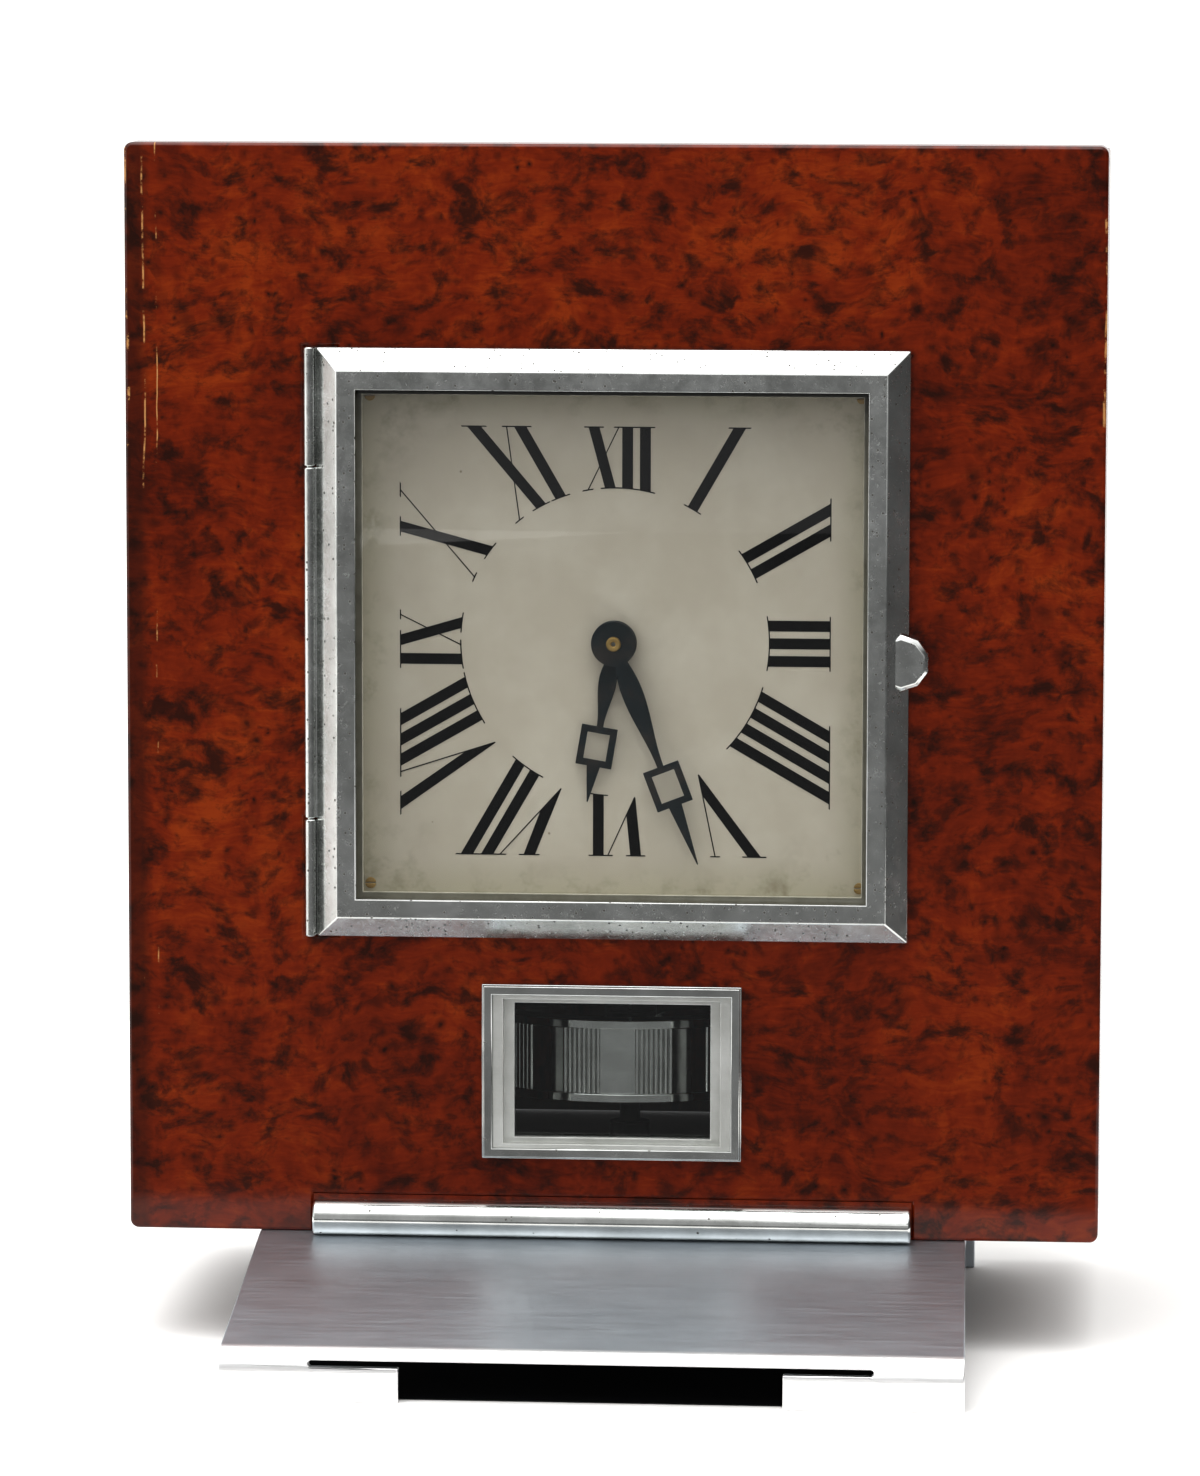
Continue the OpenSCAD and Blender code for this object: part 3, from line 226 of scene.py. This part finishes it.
def rubbedEdges(tree, where, across, halfWidth):
    waver = addNode(tree, "TexNoise", {"Vector": where, "Scale": 1 / wear["waver"], "Detail": 3})
    waver = addNode(tree, "MapRange", {"Value": waver, "To Min": -wear["sway"], "To Max": wear["sway"]})
    upper = addNode(tree, "MapRange", {"Value": across.outputs["Z"], "From Min": wear["few"],
                                       "From Max": wear["many"], "To Min": -0.09, "To Max": 0.04})
    lines = [(inset - halfWidth, *rest) for inset, *rest in wear["left"]]
    lines += [(halfWidth - inset, *rest) for inset, *rest in wear["right"]]
    worn = 0
    for place, width, gap, missing in lines:
        line = addNode(tree, "Math", {"operation": "SUBTRACT", 0: across.outputs["X"], 1: place})
        line = addNode(tree, "Math", {"operation": "ADD", 0: line, 1: waver})
        line = addNode(tree, "Math", {"operation": "ABSOLUTE", 0: line})
        line = addNode(tree, "MapRange", {"Value": line, "From Min": width * 0.4, "From Max": width,
                                          "To Min": 1, "To Max": 0})
        gaps = addNode(tree, "TexNoise", {"Vector": where, "Scale": 1 / gap, "Detail": 6, "Roughness": 0.7})
        gaps = addNode(tree, "Math", {"operation": "ADD", 0: gaps, 1: upper})
        gaps = addNode(tree, "MapRange", {"Value": gaps, "From Min": missing, "From Max": missing + 0.06})
        line = addNode(tree, "Math", {"operation": "MULTIPLY", 0: line, 1: gaps})
        worn = addNode(tree, "Math", {"operation": "MAXIMUM", 0: line, 1: worn})
    near, far = [panelLow.y / mm + depth for depth in wear["skin"]]
    face = addNode(tree, "MapRange", {"Value": across.outputs["Y"], "From Min": near, "From Max": far,
                                      "To Min": 1, "To Max": 0})
    return addNode(tree, "Math", {"operation": "MULTIPLY", 0: worn, 1: face})


# Stained beech board for the case's bottom and back door, planed and waxed: straight upright grain, darker
# and duller than the veneer. Grain and bands are their widths in mm.
beech = {"dark": "#20100a", "light": "#432715", "grain": 1.3, "bands": 9, "poreDepth": 0.12}


def stainedBeech(name):
    made, tree, body, where = startMaterial(name, {"Roughness": 0.5, "IOR": 1.5, "Coat Weight": 0.1,
                                                   "Coat Roughness": 0.3})
    along = addNode(tree, "Mapping", {"Vector": where, "Scale": (1, 1, 0.05)})
    grain = addNode(tree, "TexNoise", {"Vector": along, "Scale": 1 / beech["grain"], "Detail": 6,
                                       "Roughness": 0.65, "Distortion": 0.4})
    bands = addNode(tree, "TexNoise", {"Vector": along, "Scale": 1 / beech["bands"], "Detail": 3})
    tone = addNode(tree, "Math", {"operation": "MULTIPLY", 0: bands, 1: 0.5})
    tone = addNode(tree, "Math", {"operation": "MULTIPLY_ADD", 0: grain, 1: 0.6, 2: tone})
    colour = addNode(tree, "ValToRGB", {"Fac": tone, "stops": [(0.38, beech["dark"]),
                                                               (0.72, beech["light"])]})
    tree.links.new(colour.outputs["Color"], body.inputs["Base Color"])
    pores = addNode(tree, "Bump", {"Height": grain, "Strength": 0.35,
                                  "Distance": beech["poreDepth"] * mm})
    tree.links.new(pores.outputs["Normal"], body.inputs["Normal"])
    return made


# Chromium plate on brass, buffed: mirror-like, with a dull haze in clouds, fine scuffs and small dark pits
# from age. Sizes are in mm. The pits are drawn about twice as large as real, so that they show.
chrome = {"plate": "#dfe1df", "haze": "#bcbebb", "pit": "#46423c", "pitSpacing": 1.3, "cloud": 17,
          "fine": 4, "scuff": 1.4, "pitDepth": 0.05}


def chromePlate(name, gloss, haze, pitted, dented=0.15):
    made, tree, body, where = startMaterial(name, {"Metallic": 1.0, "Roughness": gloss})
    cloud = addNode(tree, "TexNoise", {"Vector": where, "Scale": 1 / chrome["cloud"], "Detail": 5,
                                       "Roughness": 0.62})
    colour = addNode(tree, "ValToRGB", {"Fac": cloud, "stops": [(0.35, chrome["plate"]),
                                                                (0.7, chrome["haze"])]})
    cells = addNode(tree, "TexVoronoi", {"Vector": where, "Scale": 1 / chrome["pitSpacing"]})
    pick = addNode(tree, "SeparateColor", {"Color": cells.outputs["Color"]})
    chosen = addNode(tree, "Math", {"operation": "GREATER_THAN", 0: pick.outputs["Red"], 1: 1 - pitted})
    pit = addNode(tree, "MapRange", {"Value": cells, "From Min": 0.15, "From Max": 0.3, "To Min": 0.85,
                                     "To Max": 0})
    pit = addNode(tree, "Math", {"operation": "MULTIPLY", 0: pit, 1: chosen})
    colour = addNode(tree, "Mix", {"data_type": "RGBA", 0: pit, 6: colour, 7: chrome["pit"]})
    tree.links.new(colour.outputs[2], body.inputs["Base Color"])
    fine = addNode(tree, "TexNoise", {"Vector": where, "Scale": 1 / chrome["fine"], "Detail": 6,
                                      "Roughness": 0.7})
    rough = addNode(tree, "MapRange", {"Value": fine, "From Min": 0.35, "From Max": 0.7, "To Min": gloss,
                                       "To Max": gloss + haze})
    rough = addNode(tree, "Math", {"operation": "MULTIPLY_ADD", 0: pit, 1: 0.5, 2: rough})
    scuff = addNode(tree, "TexNoise", {"Vector": where, "Scale": 1 / chrome["scuff"], "Detail": 8,
                                       "Roughness": 0.75, "Distortion": 0.5})
    scuff = addNode(tree, "MapRange", {"Value": scuff, "From Min": 0.6, "From Max": 0.7,
                                       "To Max": haze * 2})
    rough = addNode(tree, "Math", {"operation": "ADD", 0: scuff, 1: rough})
    tree.links.new(rough.outputs["Value"], body.inputs["Roughness"])
    dip = addNode(tree, "Math", {"operation": "MULTIPLY_ADD", 0: cloud, 1: 0.3, 2: pit})
    dents = addNode(tree, "Bump", {"Height": dip, "Strength": dented, "Distance": chrome["pitDepth"] * mm,
                                   "invert": True})
    tree.links.new(dents.outputs["Normal"], body.inputs["Normal"])
    return made


# Steel sheet, brushed across on its slope and polished round its front roll, then chromed: soft grey
# reflections above, bright ones in front, where the roll's near-white colour is a painted highlight. Sizes
# are in mm, and polished is how far back the polish reaches.
# The brush lines are drawn coarser than real, so that they show.
sheet = {"plate": "#bfc5cb", "shade": "#acb2b8", "roll": "#fafafa", "line": 0.4, "stretch": 50, "cloud": 30,
         "polished": 3.2, "fade": 1.6, "gloss": 0.28, "lineDepth": 0.08}


def brushedSheet(name):
    made, tree, body, where = startMaterial(name, {"Metallic": 1.0, "Roughness": 0.2})
    across = addNode(tree, "Mapping", {"Vector": where, "Scale": (1 / sheet["stretch"], 1, 1)})
    lines = addNode(tree, "TexNoise", {"Vector": across, "Scale": 1 / sheet["line"], "Detail": 4,
                                       "Roughness": 0.6})
    cloud = addNode(tree, "TexNoise", {"Vector": where, "Scale": 1 / sheet["cloud"], "Detail": 4})
    colour = addNode(tree, "ValToRGB", {"Fac": cloud, "stops": [(0.35, sheet["plate"]),
                                                                (0.7, sheet["shade"])]})
    rough = addNode(tree, "MapRange", {"Value": lines, "From Min": 0.3, "From Max": 0.7, "To Min": 0.32,
                                       "To Max": 0.44})
    rough = addNode(tree, "Math", {"operation": "MULTIPLY_ADD", 0: cloud, 1: 0.08, 2: rough})
    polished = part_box("stand_plate")[0].y / mm + sheet["polished"]
    depth = addNode(tree, "SeparateXYZ", {"Vector": where})
    brushed = addNode(tree, "MapRange", {"Value": depth.outputs["Y"], "From Min": polished,
                                         "From Max": polished + sheet["fade"]})
    rough = addNode(tree, "Mix", {"data_type": "FLOAT", 0: brushed, 2: sheet["gloss"], 3: rough})
    # the front roll's colour is near white: a painted highlight on top of its polish
    colour = addNode(tree, "Mix", {"data_type": "RGBA", 0: brushed, 6: sheet["roll"], 7: colour})
    tree.links.new(colour.outputs[2], body.inputs["Base Color"])
    tree.links.new(rough.outputs[0], body.inputs["Roughness"])
    scratch = addNode(tree, "Bump", {"Height": lines, "Strength": 0.5,
                                    "Distance": sheet["lineDepth"] * mm})
    tree.links.new(scratch.outputs["Normal"], body.inputs["Normal"])
    return made


# Dial of brass sheet, silvered and lacquered: warm cream with age, greener and darker to its edges, with
# stains in the corners and fine dark specks. Sizes are in mm.
silvered = {"middle": "#c2b8a9", "light": "#ccc3b5", "edge": "#bab39f", "stain": "#8a8169",
            "speck": "#6d5a40", "mottle": 14, "blotch": 9, "ragged": 9, "rim": 5, "speckSpacing": 7,
            "gritDepth": 0.02}


def silveredDial(name):
    made, tree, body, where = startMaterial(name, {"Roughness": 0.52, "Metallic": 0.15, "IOR": 1.5})
    low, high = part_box("dial_plate")
    middle = (low + high) / 2 / mm
    halfDial = (high.x - low.x) / 2 / mm
    centred = addNode(tree, "VectorMath", {"operation": "SUBTRACT", 0: where, 1: middle})
    spread = addNode(tree, "VectorMath", {"operation": "ABSOLUTE", 0: centred})
    away = addNode(tree, "SeparateXYZ", {"Vector": spread})
    mottle = addNode(tree, "TexNoise", {"Vector": where, "Scale": 1 / silvered["mottle"], "Detail": 5,
                                        "Roughness": 0.6})
    out = addNode(tree, "Math", {"operation": "MAXIMUM", 0: away.outputs["X"], 1: away.outputs["Z"]})
    out = addNode(tree, "Math", {"operation": "MULTIPLY_ADD", 0: mottle, 1: silvered["ragged"], 2: out})
    rim = addNode(tree, "MapRange", {"Value": out, "From Min": halfDial - silvered["rim"],
                                     "From Max": halfDial + silvered["rim"]})
    corner = addNode(tree, "Math", {"operation": "ADD", 0: away.outputs["X"], 1: away.outputs["Z"]})
    corner = addNode(tree, "MapRange", {"Value": corner, "From Min": halfDial * 1.38,
                                        "From Max": halfDial * 1.9})
    blotch = addNode(tree, "TexNoise", {"Vector": where, "Scale": 1 / silvered["blotch"], "Detail": 6,
                                        "Roughness": 0.7})
    blotch = addNode(tree, "MapRange", {"Value": blotch, "From Min": 0.5, "From Max": 0.72})
    stain = addNode(tree, "Math", {"operation": "MAXIMUM", 0: rim, 1: corner})
    stain = addNode(tree, "Math", {"operation": "MULTIPLY", 0: stain, 1: blotch})
    cells = addNode(tree, "TexVoronoi", {"Vector": where, "Scale": 1 / silvered["speckSpacing"]})
    pick = addNode(tree, "SeparateColor", {"Color": cells.outputs["Color"]})
    chosen = addNode(tree, "Math", {"operation": "GREATER_THAN", 0: pick.outputs["Red"], 1: 0.8})
    speck = addNode(tree, "MapRange", {"Value": cells, "From Min": 0.03, "From Max": 0.055, "To Min": 0.6,
                                       "To Max": 0})
    speck = addNode(tree, "Math", {"operation": "MULTIPLY", 0: speck, 1: chosen})
    colour = addNode(tree, "ValToRGB", {"Fac": mottle, "stops": [(0.4, silvered["middle"]),
                                                                 (0.7, silvered["light"])]})
    for amount, shade in ((rim, "edge"), (stain, "stain"), (speck, "speck")):
        colour = addNode(tree, "Mix", {"data_type": "RGBA", 0: amount, 6: colour, 7: silvered[shade]})
    tree.links.new(colour.outputs[2], body.inputs["Base Color"])
    grains = addNode(tree, "TexNoise", {"Vector": where, "Scale": 2, "Detail": 3})
    matt = addNode(tree, "Bump", {"Height": grains, "Strength": 0.15,
                                  "Distance": silvered["gritDepth"] * mm})
    tree.links.new(matt.outputs["Normal"], body.inputs["Normal"])
    return made


# A painted, printed or silvered coat, heat-blued steel, or a flat colour painted as light or shade: two
# shades in patches, the second one rougher, over a fine grit in mm.
grit = {"size": 0.6, "depth": 0.03}


def patchedFinish(name, metallic, gleam, main, patch, size, smooth, rough, share=0.5):
    made, tree, body, where = startMaterial(name, {"Metallic": metallic, "Roughness": smooth,
                                                   "Specular IOR Level": gleam})
    bloom = addNode(tree, "TexNoise", {"Vector": where, "Scale": 1 / size, "Detail": 5, "Roughness": 0.65})
    bloom = addNode(tree, "MapRange", {"Value": bloom, "From Min": share - 0.05, "From Max": share + 0.22})
    colour = addNode(tree, "Mix", {"data_type": "RGBA", 0: bloom, 6: main, 7: patch})
    tree.links.new(colour.outputs[2], body.inputs["Base Color"])
    dull = addNode(tree, "MapRange", {"Value": bloom, "To Min": smooth, "To Max": rough})
    tree.links.new(dull.outputs["Result"], body.inputs["Roughness"])
    grains = addNode(tree, "TexNoise", {"Vector": where, "Scale": 1 / grit["size"], "Detail": 4})
    skin = addNode(tree, "Bump", {"Height": grains, "Strength": 0.2, "Distance": grit["depth"] * mm})
    tree.links.new(skin.outputs["Normal"], body.inputs["Normal"])
    return made


# Turned, cut and grained metals: tool lines run across, and the tone drifts with handling. Sizes are in mm.
toolMarks = {"stretch": 20, "cloud": 12, "depth": 0.03}


def workedMetal(name, bright, dull, gloss, line):
    made, tree, body, where = startMaterial(name, {"Metallic": 1.0, "Roughness": gloss})
    cloud = addNode(tree, "TexNoise", {"Vector": where, "Scale": 1 / toolMarks["cloud"], "Detail": 5,
                                       "Roughness": 0.6})
    colour = addNode(tree, "ValToRGB", {"Fac": cloud, "stops": [(0.35, bright), (0.7, dull)]})
    tree.links.new(colour.outputs["Color"], body.inputs["Base Color"])
    across = addNode(tree, "Mapping", {"Vector": where, "Scale": (1 / toolMarks["stretch"], 1, 1)})
    lines = addNode(tree, "TexNoise", {"Vector": across, "Scale": 1 / line, "Detail": 4, "Roughness": 0.6})
    rough = addNode(tree, "MapRange", {"Value": lines, "From Min": 0.3, "From Max": 0.7, "To Min": gloss,
                                       "To Max": gloss + 0.15})
    tree.links.new(rough.outputs["Result"], body.inputs["Roughness"])
    cut = addNode(tree, "Bump", {"Height": lines, "Strength": 0.15,
                                 "Distance": toolMarks["depth"] * mm})
    tree.links.new(cut.outputs["Normal"], body.inputs["Normal"])
    return made


# Polished plate glass, clear with a faint cool tint and thin smears. Lamps reach what is behind it. The
# smears are spaced in mm.
glass = {"tint": "#fcfefd", "smear": 24}


def plateGlass(name):
    made, tree, body, where = startMaterial(name, {
        "Base Color": glass["tint"], "Roughness": 0.0, "IOR": 1.5, "Transmission Weight": 1.0})
    smear = addNode(tree, "TexNoise", {"Vector": where, "Scale": 1 / glass["smear"], "Detail": 4})
    smear = addNode(tree, "MapRange", {"Value": smear, "From Min": 0.5, "From Max": 0.8, "To Max": 0.002})
    tree.links.new(smear.outputs["Result"], body.inputs["Roughness"])
    path = addNode(tree, "LightPath", {})
    clear = addNode(tree, "BsdfTransparent", {"Color": glass["tint"]})
    both = addNode(tree, "MixShader", {0: path.outputs["Is Shadow Ray"], 1: body, 2: clear})
    output = next(node for node in tree.nodes if node.type == "OUTPUT_MATERIAL")
    tree.links.new(both.outputs["Shader"], output.inputs["Surface"])
    return made


looks = {
    "burlFront": burlVeneer("amboynaBurlWorn", wornHalfWidth=panelHigh.x / mm),
    "burlLeft": burlVeneer("amboynaBurlLeft", (310, 40, 75)),
    "burlRight": burlVeneer("amboynaBurlRight", (-270, 160, 20)),
    "burlTop": burlVeneer("amboynaBurlTop", (60, -220, 190)),
    "beech": stainedBeech("stainedBeech"),
    # the door's plate has lost its gloss, the bar's and the window's has not, and the ring is clean nickel
    "chrome": chromePlate("agedChromePlate", 0.12, 0.16, 0.3),
    "chromeClean": chromePlate("buffedChromePlate", 0.05, 0.08, 0.06),
    "nickel": chromePlate("polishedNickelRing", 0.08, 0.04, 0.0, 0.0),
    "sheet": brushedSheet("brushedChromedSheet"),
    "dial": silveredDial("silveredDialSheet"),
    # matt black ink that hardly shines
    "ink": patchedFinish("printedDialInk", 0, 0.02, "#060607", "#0d0d0e", 1.6, 0.5, 0.6),
    # heat-blued hands, gone dull with brown patches
    "blued": patchedFinish("dulledBluedSteel", 0.4, 0.3, "#1a2226", "#3a322d", 7, 0.36, 0.6),
    # near-black with browner patches: painted shade on the hub and the lock parts, which show only as dark
    # inside the case
    "black": patchedFinish("paintedShadeBlack", 0.2, 0.2, "#0d0c0b", "#26221e", 5, 0.55, 0.7),
    # pale cream and dull round the dial: painted light on the trim walls beside the dial, which little
    # light reaches through the glass
    "seat": patchedFinish("paleSurroundPaintedLight", 0.1, 0.4, "#cbc5b7", "#b0a998", 6, 0.4, 0.55),
    # lathe-turned mild steel, grey with fine rings
    "steel": workedMetal("turnedSteel", "#9a9b99", "#7c7d7b", 0.25, 0.4),
    # cut and grained brass under clear lacquer, warm yellow
    "brass": workedMetal("lacqueredCutBrass", "#b8924a", "#8f6d34", 0.28, 0.5),
    # bare brass, paler and duller with age
    "oldBrass": workedMetal("agedBrassBush", "#b79a66", "#8a7040", 0.4, 0.4),
    # aluminium liner, satin and nearly white
    "aluminium": workedMetal("satinAluminium", "#d4d5d2", "#bfc0bc", 0.38, 0.3),
    "glass": plateGlass("clearPlateGlass"),
}
print("materials made")


# Each row: the look, the record's slot, the width in mm of the broken edges (0 leaves the CAD mesh), nodes.
finishes = [
    ("sheet", "chrome_sheet", 0.3, ["stand_plate"]),
    ("chromeClean", "chrome_sheet", 0.6, ["stand_bar"]),
    ("burlFront", "burl_veneer", 0.7, ["front_panel"]),
    ("burlLeft", "burl_veneer", 0.8, ["side_left"]),
    ("burlRight", "burl_veneer", 0.8, ["side_right"]),
    ("burlTop", "burl_veneer", 0.8, ["case_top"]),
    ("beech", "dark_board", 0.5, ["case_bottom", "rear_door"]),
    ("aluminium", "aluminium_trim", 0.15, ["window_liner"]),
    # the seat and the retainer take the pale surround: painted light on the walls beside the dial
    ("seat", "aluminium_trim", 0.15, ["door_seat"]),
    ("seat", "steel", 0.15, ["door_retainer"]),
    ("chrome", "chrome_trim", 0.25, ["door_frame", "hinge_leaf", "door_grip"]),
    ("chrome", "chrome_trim", 0.1, ["hinge_pin"]),
    ("chromeClean", "chrome_trim", 0.2, ["window_frame"]),
    ("glass", "glass", 0.1, ["door_glass", "window_glass"]),
    ("dial", "dial", 0.15, ["dial_plate"]),
    ("ink", "black_paint", 0, ["dial_numerals"]),
    ("blued", "blued_steel", 0.12, ["hour_hand", "minute_hand"]),
    ("oldBrass", "brass", 0.1, ["minute_collet"]),
    ("oldBrass", "brass", 0.15, ["dial_screws"]),
    ("brass", "brass", 0, ["dial_feet", "hour_wheel", "cannon_pinion", "centre_wheel", "minute_wheel",
                           "escape_wheel", "ratchet_wheel"]),
    ("brass", "brass", 0.3, ["front_plate", "back_plate", "barrel", "barrel_cover", "motor_drum",
                             "motor_cover", "motor_bridge", "rear_hinge", "rear_pull", "suspension_post",
                             "head_bracket"]),
    # the hub and the lock parts take the near-black look: painted shade inside the case
    ("black", "black_paint", 0.3, ["pendulum_hub", "lock_guide", "lock_plunger"]),
    ("steel", "steel", 0.15, ["window_retainer", "stand_screws", "plate_pillars", "mount_posts",
                              "bridge_pillars", "motor_tube"]),
    ("steel", "steel", 0, ["centre_arbor", "minute_stud", "pallet_fork", "motor_arbor", "click",
                           "suspension_wire", "impulse_roller", "rear_pin"]),
    ("nickel", "steel", 0.25, ["pendulum_ring"]),
]
roundAngle = math.radians(28)    # facets that meet at less than this are one curved face
flatAngle = math.radians(0.3)    # facets that meet at less than this are one flat face
weldGap = 0.002 * mm


def easedCopy(node, width):
    # the CAD solid with its outer sharp edges broken and its curved faces shaded smooth
    shape = bmesh.new()
    shape.from_mesh(frame["nodes"][node].data)
    bmesh.ops.remove_doubles(shape, verts=shape.verts, dist=weldGap)
    bmesh.ops.dissolve_limit(shape, angle_limit=flatAngle, verts=shape.verts, edges=shape.edges)
    for face in shape.faces:
        face.smooth = any(flatAngle < edge.calc_face_angle(0) < roundAngle for edge in face.edges)
    for edge in shape.edges:
        edge.smooth = edge.calc_face_angle(0) < roundAngle
    outer = [edge for edge in shape.edges if not edge.smooth and edge.is_convex]
    broken = bmesh.ops.bevel(shape, geom=outer, affect="EDGES", offset=width * mm, segments=2, profile=0.5,
                             material=-1, clamp_overlap=False)["faces"]
    for face in broken:
        face.smooth = True
    broken = set(broken)
    for edge in shape.edges:
        if len([face for face in edge.link_faces if face in broken]) == 1:
            edge.smooth = False
    words = node.split("_")
    mesh = bpy.data.meshes.new(words[0] + "".join(word.title() for word in words[1:]))
    shape.to_mesh(mesh)
    shape.free()
    piece = bpy.data.objects.new(mesh.name, mesh)
    bpy.context.scene.collection.objects.link(piece)
    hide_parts(node)
    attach(piece, frame["nodes"][node]["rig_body"])
    return piece


for look, slot, width, nodes in finishes:
    for node in nodes:
        piece = easedCopy(node, width) if width else frame["nodes"][node]
        piece.data.materials.clear()
        piece.data.materials.append(looks[look])
print("pieces finished")


# Floor of pale card under a big soft overhead lamp, with light walls: bright above, behind and to the left,
# dimmer in front, and dark to the right, so that the metal has something to show. Sizes are in metres, and
# the heights above the table in mm.
studio = {"floor": "#f4f3f1", "floorSize": 120, "sun": 1.0, "sunSize": 70, "mat": "#0c0c0d",
          "shadowCardHeight": 0.3, "flagHeight": 2, "ahead": "#5f5f5f", "beside": "#4a4a4a",
          "front": 0.42, "right": 0.08, "left": 0.6, "back": 0.95, "top": 1.3}


def layCard(name, low, high, height, colour, onlyGloss=False):
    # a level card from low to high (x, y), as many mm up as height says; one that only gloss sees is a
    # flag, which shades what the metal and the glass reflect
    shape = bmesh.new()
    bmesh.ops.create_grid(shape, x_segments=1, y_segments=1, size=0.5)
    bmesh.ops.scale(shape, verts=shape.verts, vec=(high[0] - low[0], high[1] - low[1], 1))
    middle = ((low[0] + high[0]) / 2, (low[1] + high[1]) / 2, height * mm)
    bmesh.ops.translate(shape, verts=shape.verts, vec=middle)
    mesh = bpy.data.meshes.new(name)
    shape.to_mesh(mesh)
    shape.free()
    card = bpy.data.objects.new(name, mesh)
    bpy.context.scene.collection.objects.link(card)
    made, tree, body, where = startMaterial(name + "Card", {"Roughness": 0.9, "Base Color": colour,
                                                            "Specular IOR Level": 0.05})
    mesh.materials.append(made)
    if onlyGloss:
        card.visible_camera = False
        card.visible_diffuse = False
        card.visible_shadow = False


# Each soft lamp: name, power in watts, then size, place and aim in metres.
lamps = [("overhead", 8, (1.3, 0.9), (-0.1, -0.2, 1.5), (0, 0, 0.1)),
         ("leftBox", 3, (0.9, 1.2), (-1.5, -0.9, 0.8), (0, 0, 0.15)),
         ("frontFill", 3.5, (1.4, 1.0), (0.6, -2.2, 1.1), (0, 0, 0.12))]


def hangLamps():
    for name, power, size, place, aim in lamps:
        lamp = bpy.data.lights.new(name, "AREA")
        lamp.shape = "RECTANGLE"
        lamp.size, lamp.size_y = size
        lamp.energy = power
        made = bpy.data.objects.new(name, lamp)
        bpy.context.scene.collection.objects.link(made)
        made.location = place
        made.rotation_euler = (Vector(place) - Vector(aim)).to_track_quat("Z", "Y").to_euler()
    sun = bpy.data.lights.new("sky", "SUN")
    sun.energy = studio["sun"]
    sun.angle = math.radians(studio["sunSize"])
    made = bpy.data.objects.new("sky", sun)
    bpy.context.scene.collection.objects.link(made)
    made.rotation_euler = (math.radians(18), math.radians(-14), 0)


def paintWalls():
    world = bpy.data.worlds.new("studioWalls")
    bpy.context.scene.world = world
    world.use_nodes = True
    tree = world.node_tree
    tree.nodes.clear()
    place = addNode(tree, "TexCoord", {})
    aim = addNode(tree, "SeparateXYZ", {"Vector": place.outputs["Generated"]})
    sides = addNode(tree, "MapRange", {"Value": aim.outputs["X"], "From Min": -0.7, "From Max": 0.7,
                                       "To Min": studio["left"], "To Max": studio["right"],
                                       "interpolation_type": "SMOOTHSTEP"})
    ahead = addNode(tree, "MapRange", {"Value": aim.outputs["Y"], "From Min": -0.95, "From Max": -0.35,
                                       "To Min": 0, "To Max": 1, "interpolation_type": "SMOOTHSTEP"})
    front = addNode(tree, "Mix", {"data_type": "FLOAT", 0: ahead, 2: studio["front"], 3: sides})
    behind = addNode(tree, "MapRange", {"Value": aim.outputs["Y"], "From Min": 0.1, "From Max": 0.6,
                                        "interpolation_type": "SMOOTHSTEP"})
    walls = addNode(tree, "Mix", {"data_type": "FLOAT", 0: behind, 2: front, 3: studio["back"]})
    above = addNode(tree, "MapRange", {"Value": aim.outputs["Z"], "From Min": 0.35, "From Max": 0.8,
                                       "interpolation_type": "SMOOTHSTEP"})
    light = addNode(tree, "Mix", {"data_type": "FLOAT", 0: above, 2: walls, 3: studio["top"]})
    glow = addNode(tree, "Background", {"Color": "#ffffff", "Strength": light})
    addNode(tree, "OutputWorld", {"Surface": glow})


half = studio["floorSize"] / 2
standLow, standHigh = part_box("stand_plate")
flag = studio["flagHeight"]
layCard("paleFloor", (-half, -half), (half, half), 0, studio["floor"])
# a near-black card under the stand, seen through its front opening: painted shadow on the floor beneath it
layCard("paintedShadowCard", (standLow.x + 0.01, standLow.y + 0.004), (standHigh.x - 0.01, standHigh.y - 0.01),
        studio["shadowCardHeight"], studio["mat"])
layCard("flagAhead", (-0.6, -1.2), (0.4, -0.2), flag, studio["ahead"], True)
layCard("flagFar", (-3, -half), (0.4, -1.2), flag, studio["ahead"], True)
layCard("flagBeside", (0.4, -half), (half, 6), flag, studio["beside"], True)
hangLamps()
paintWalls()
print("studio set")
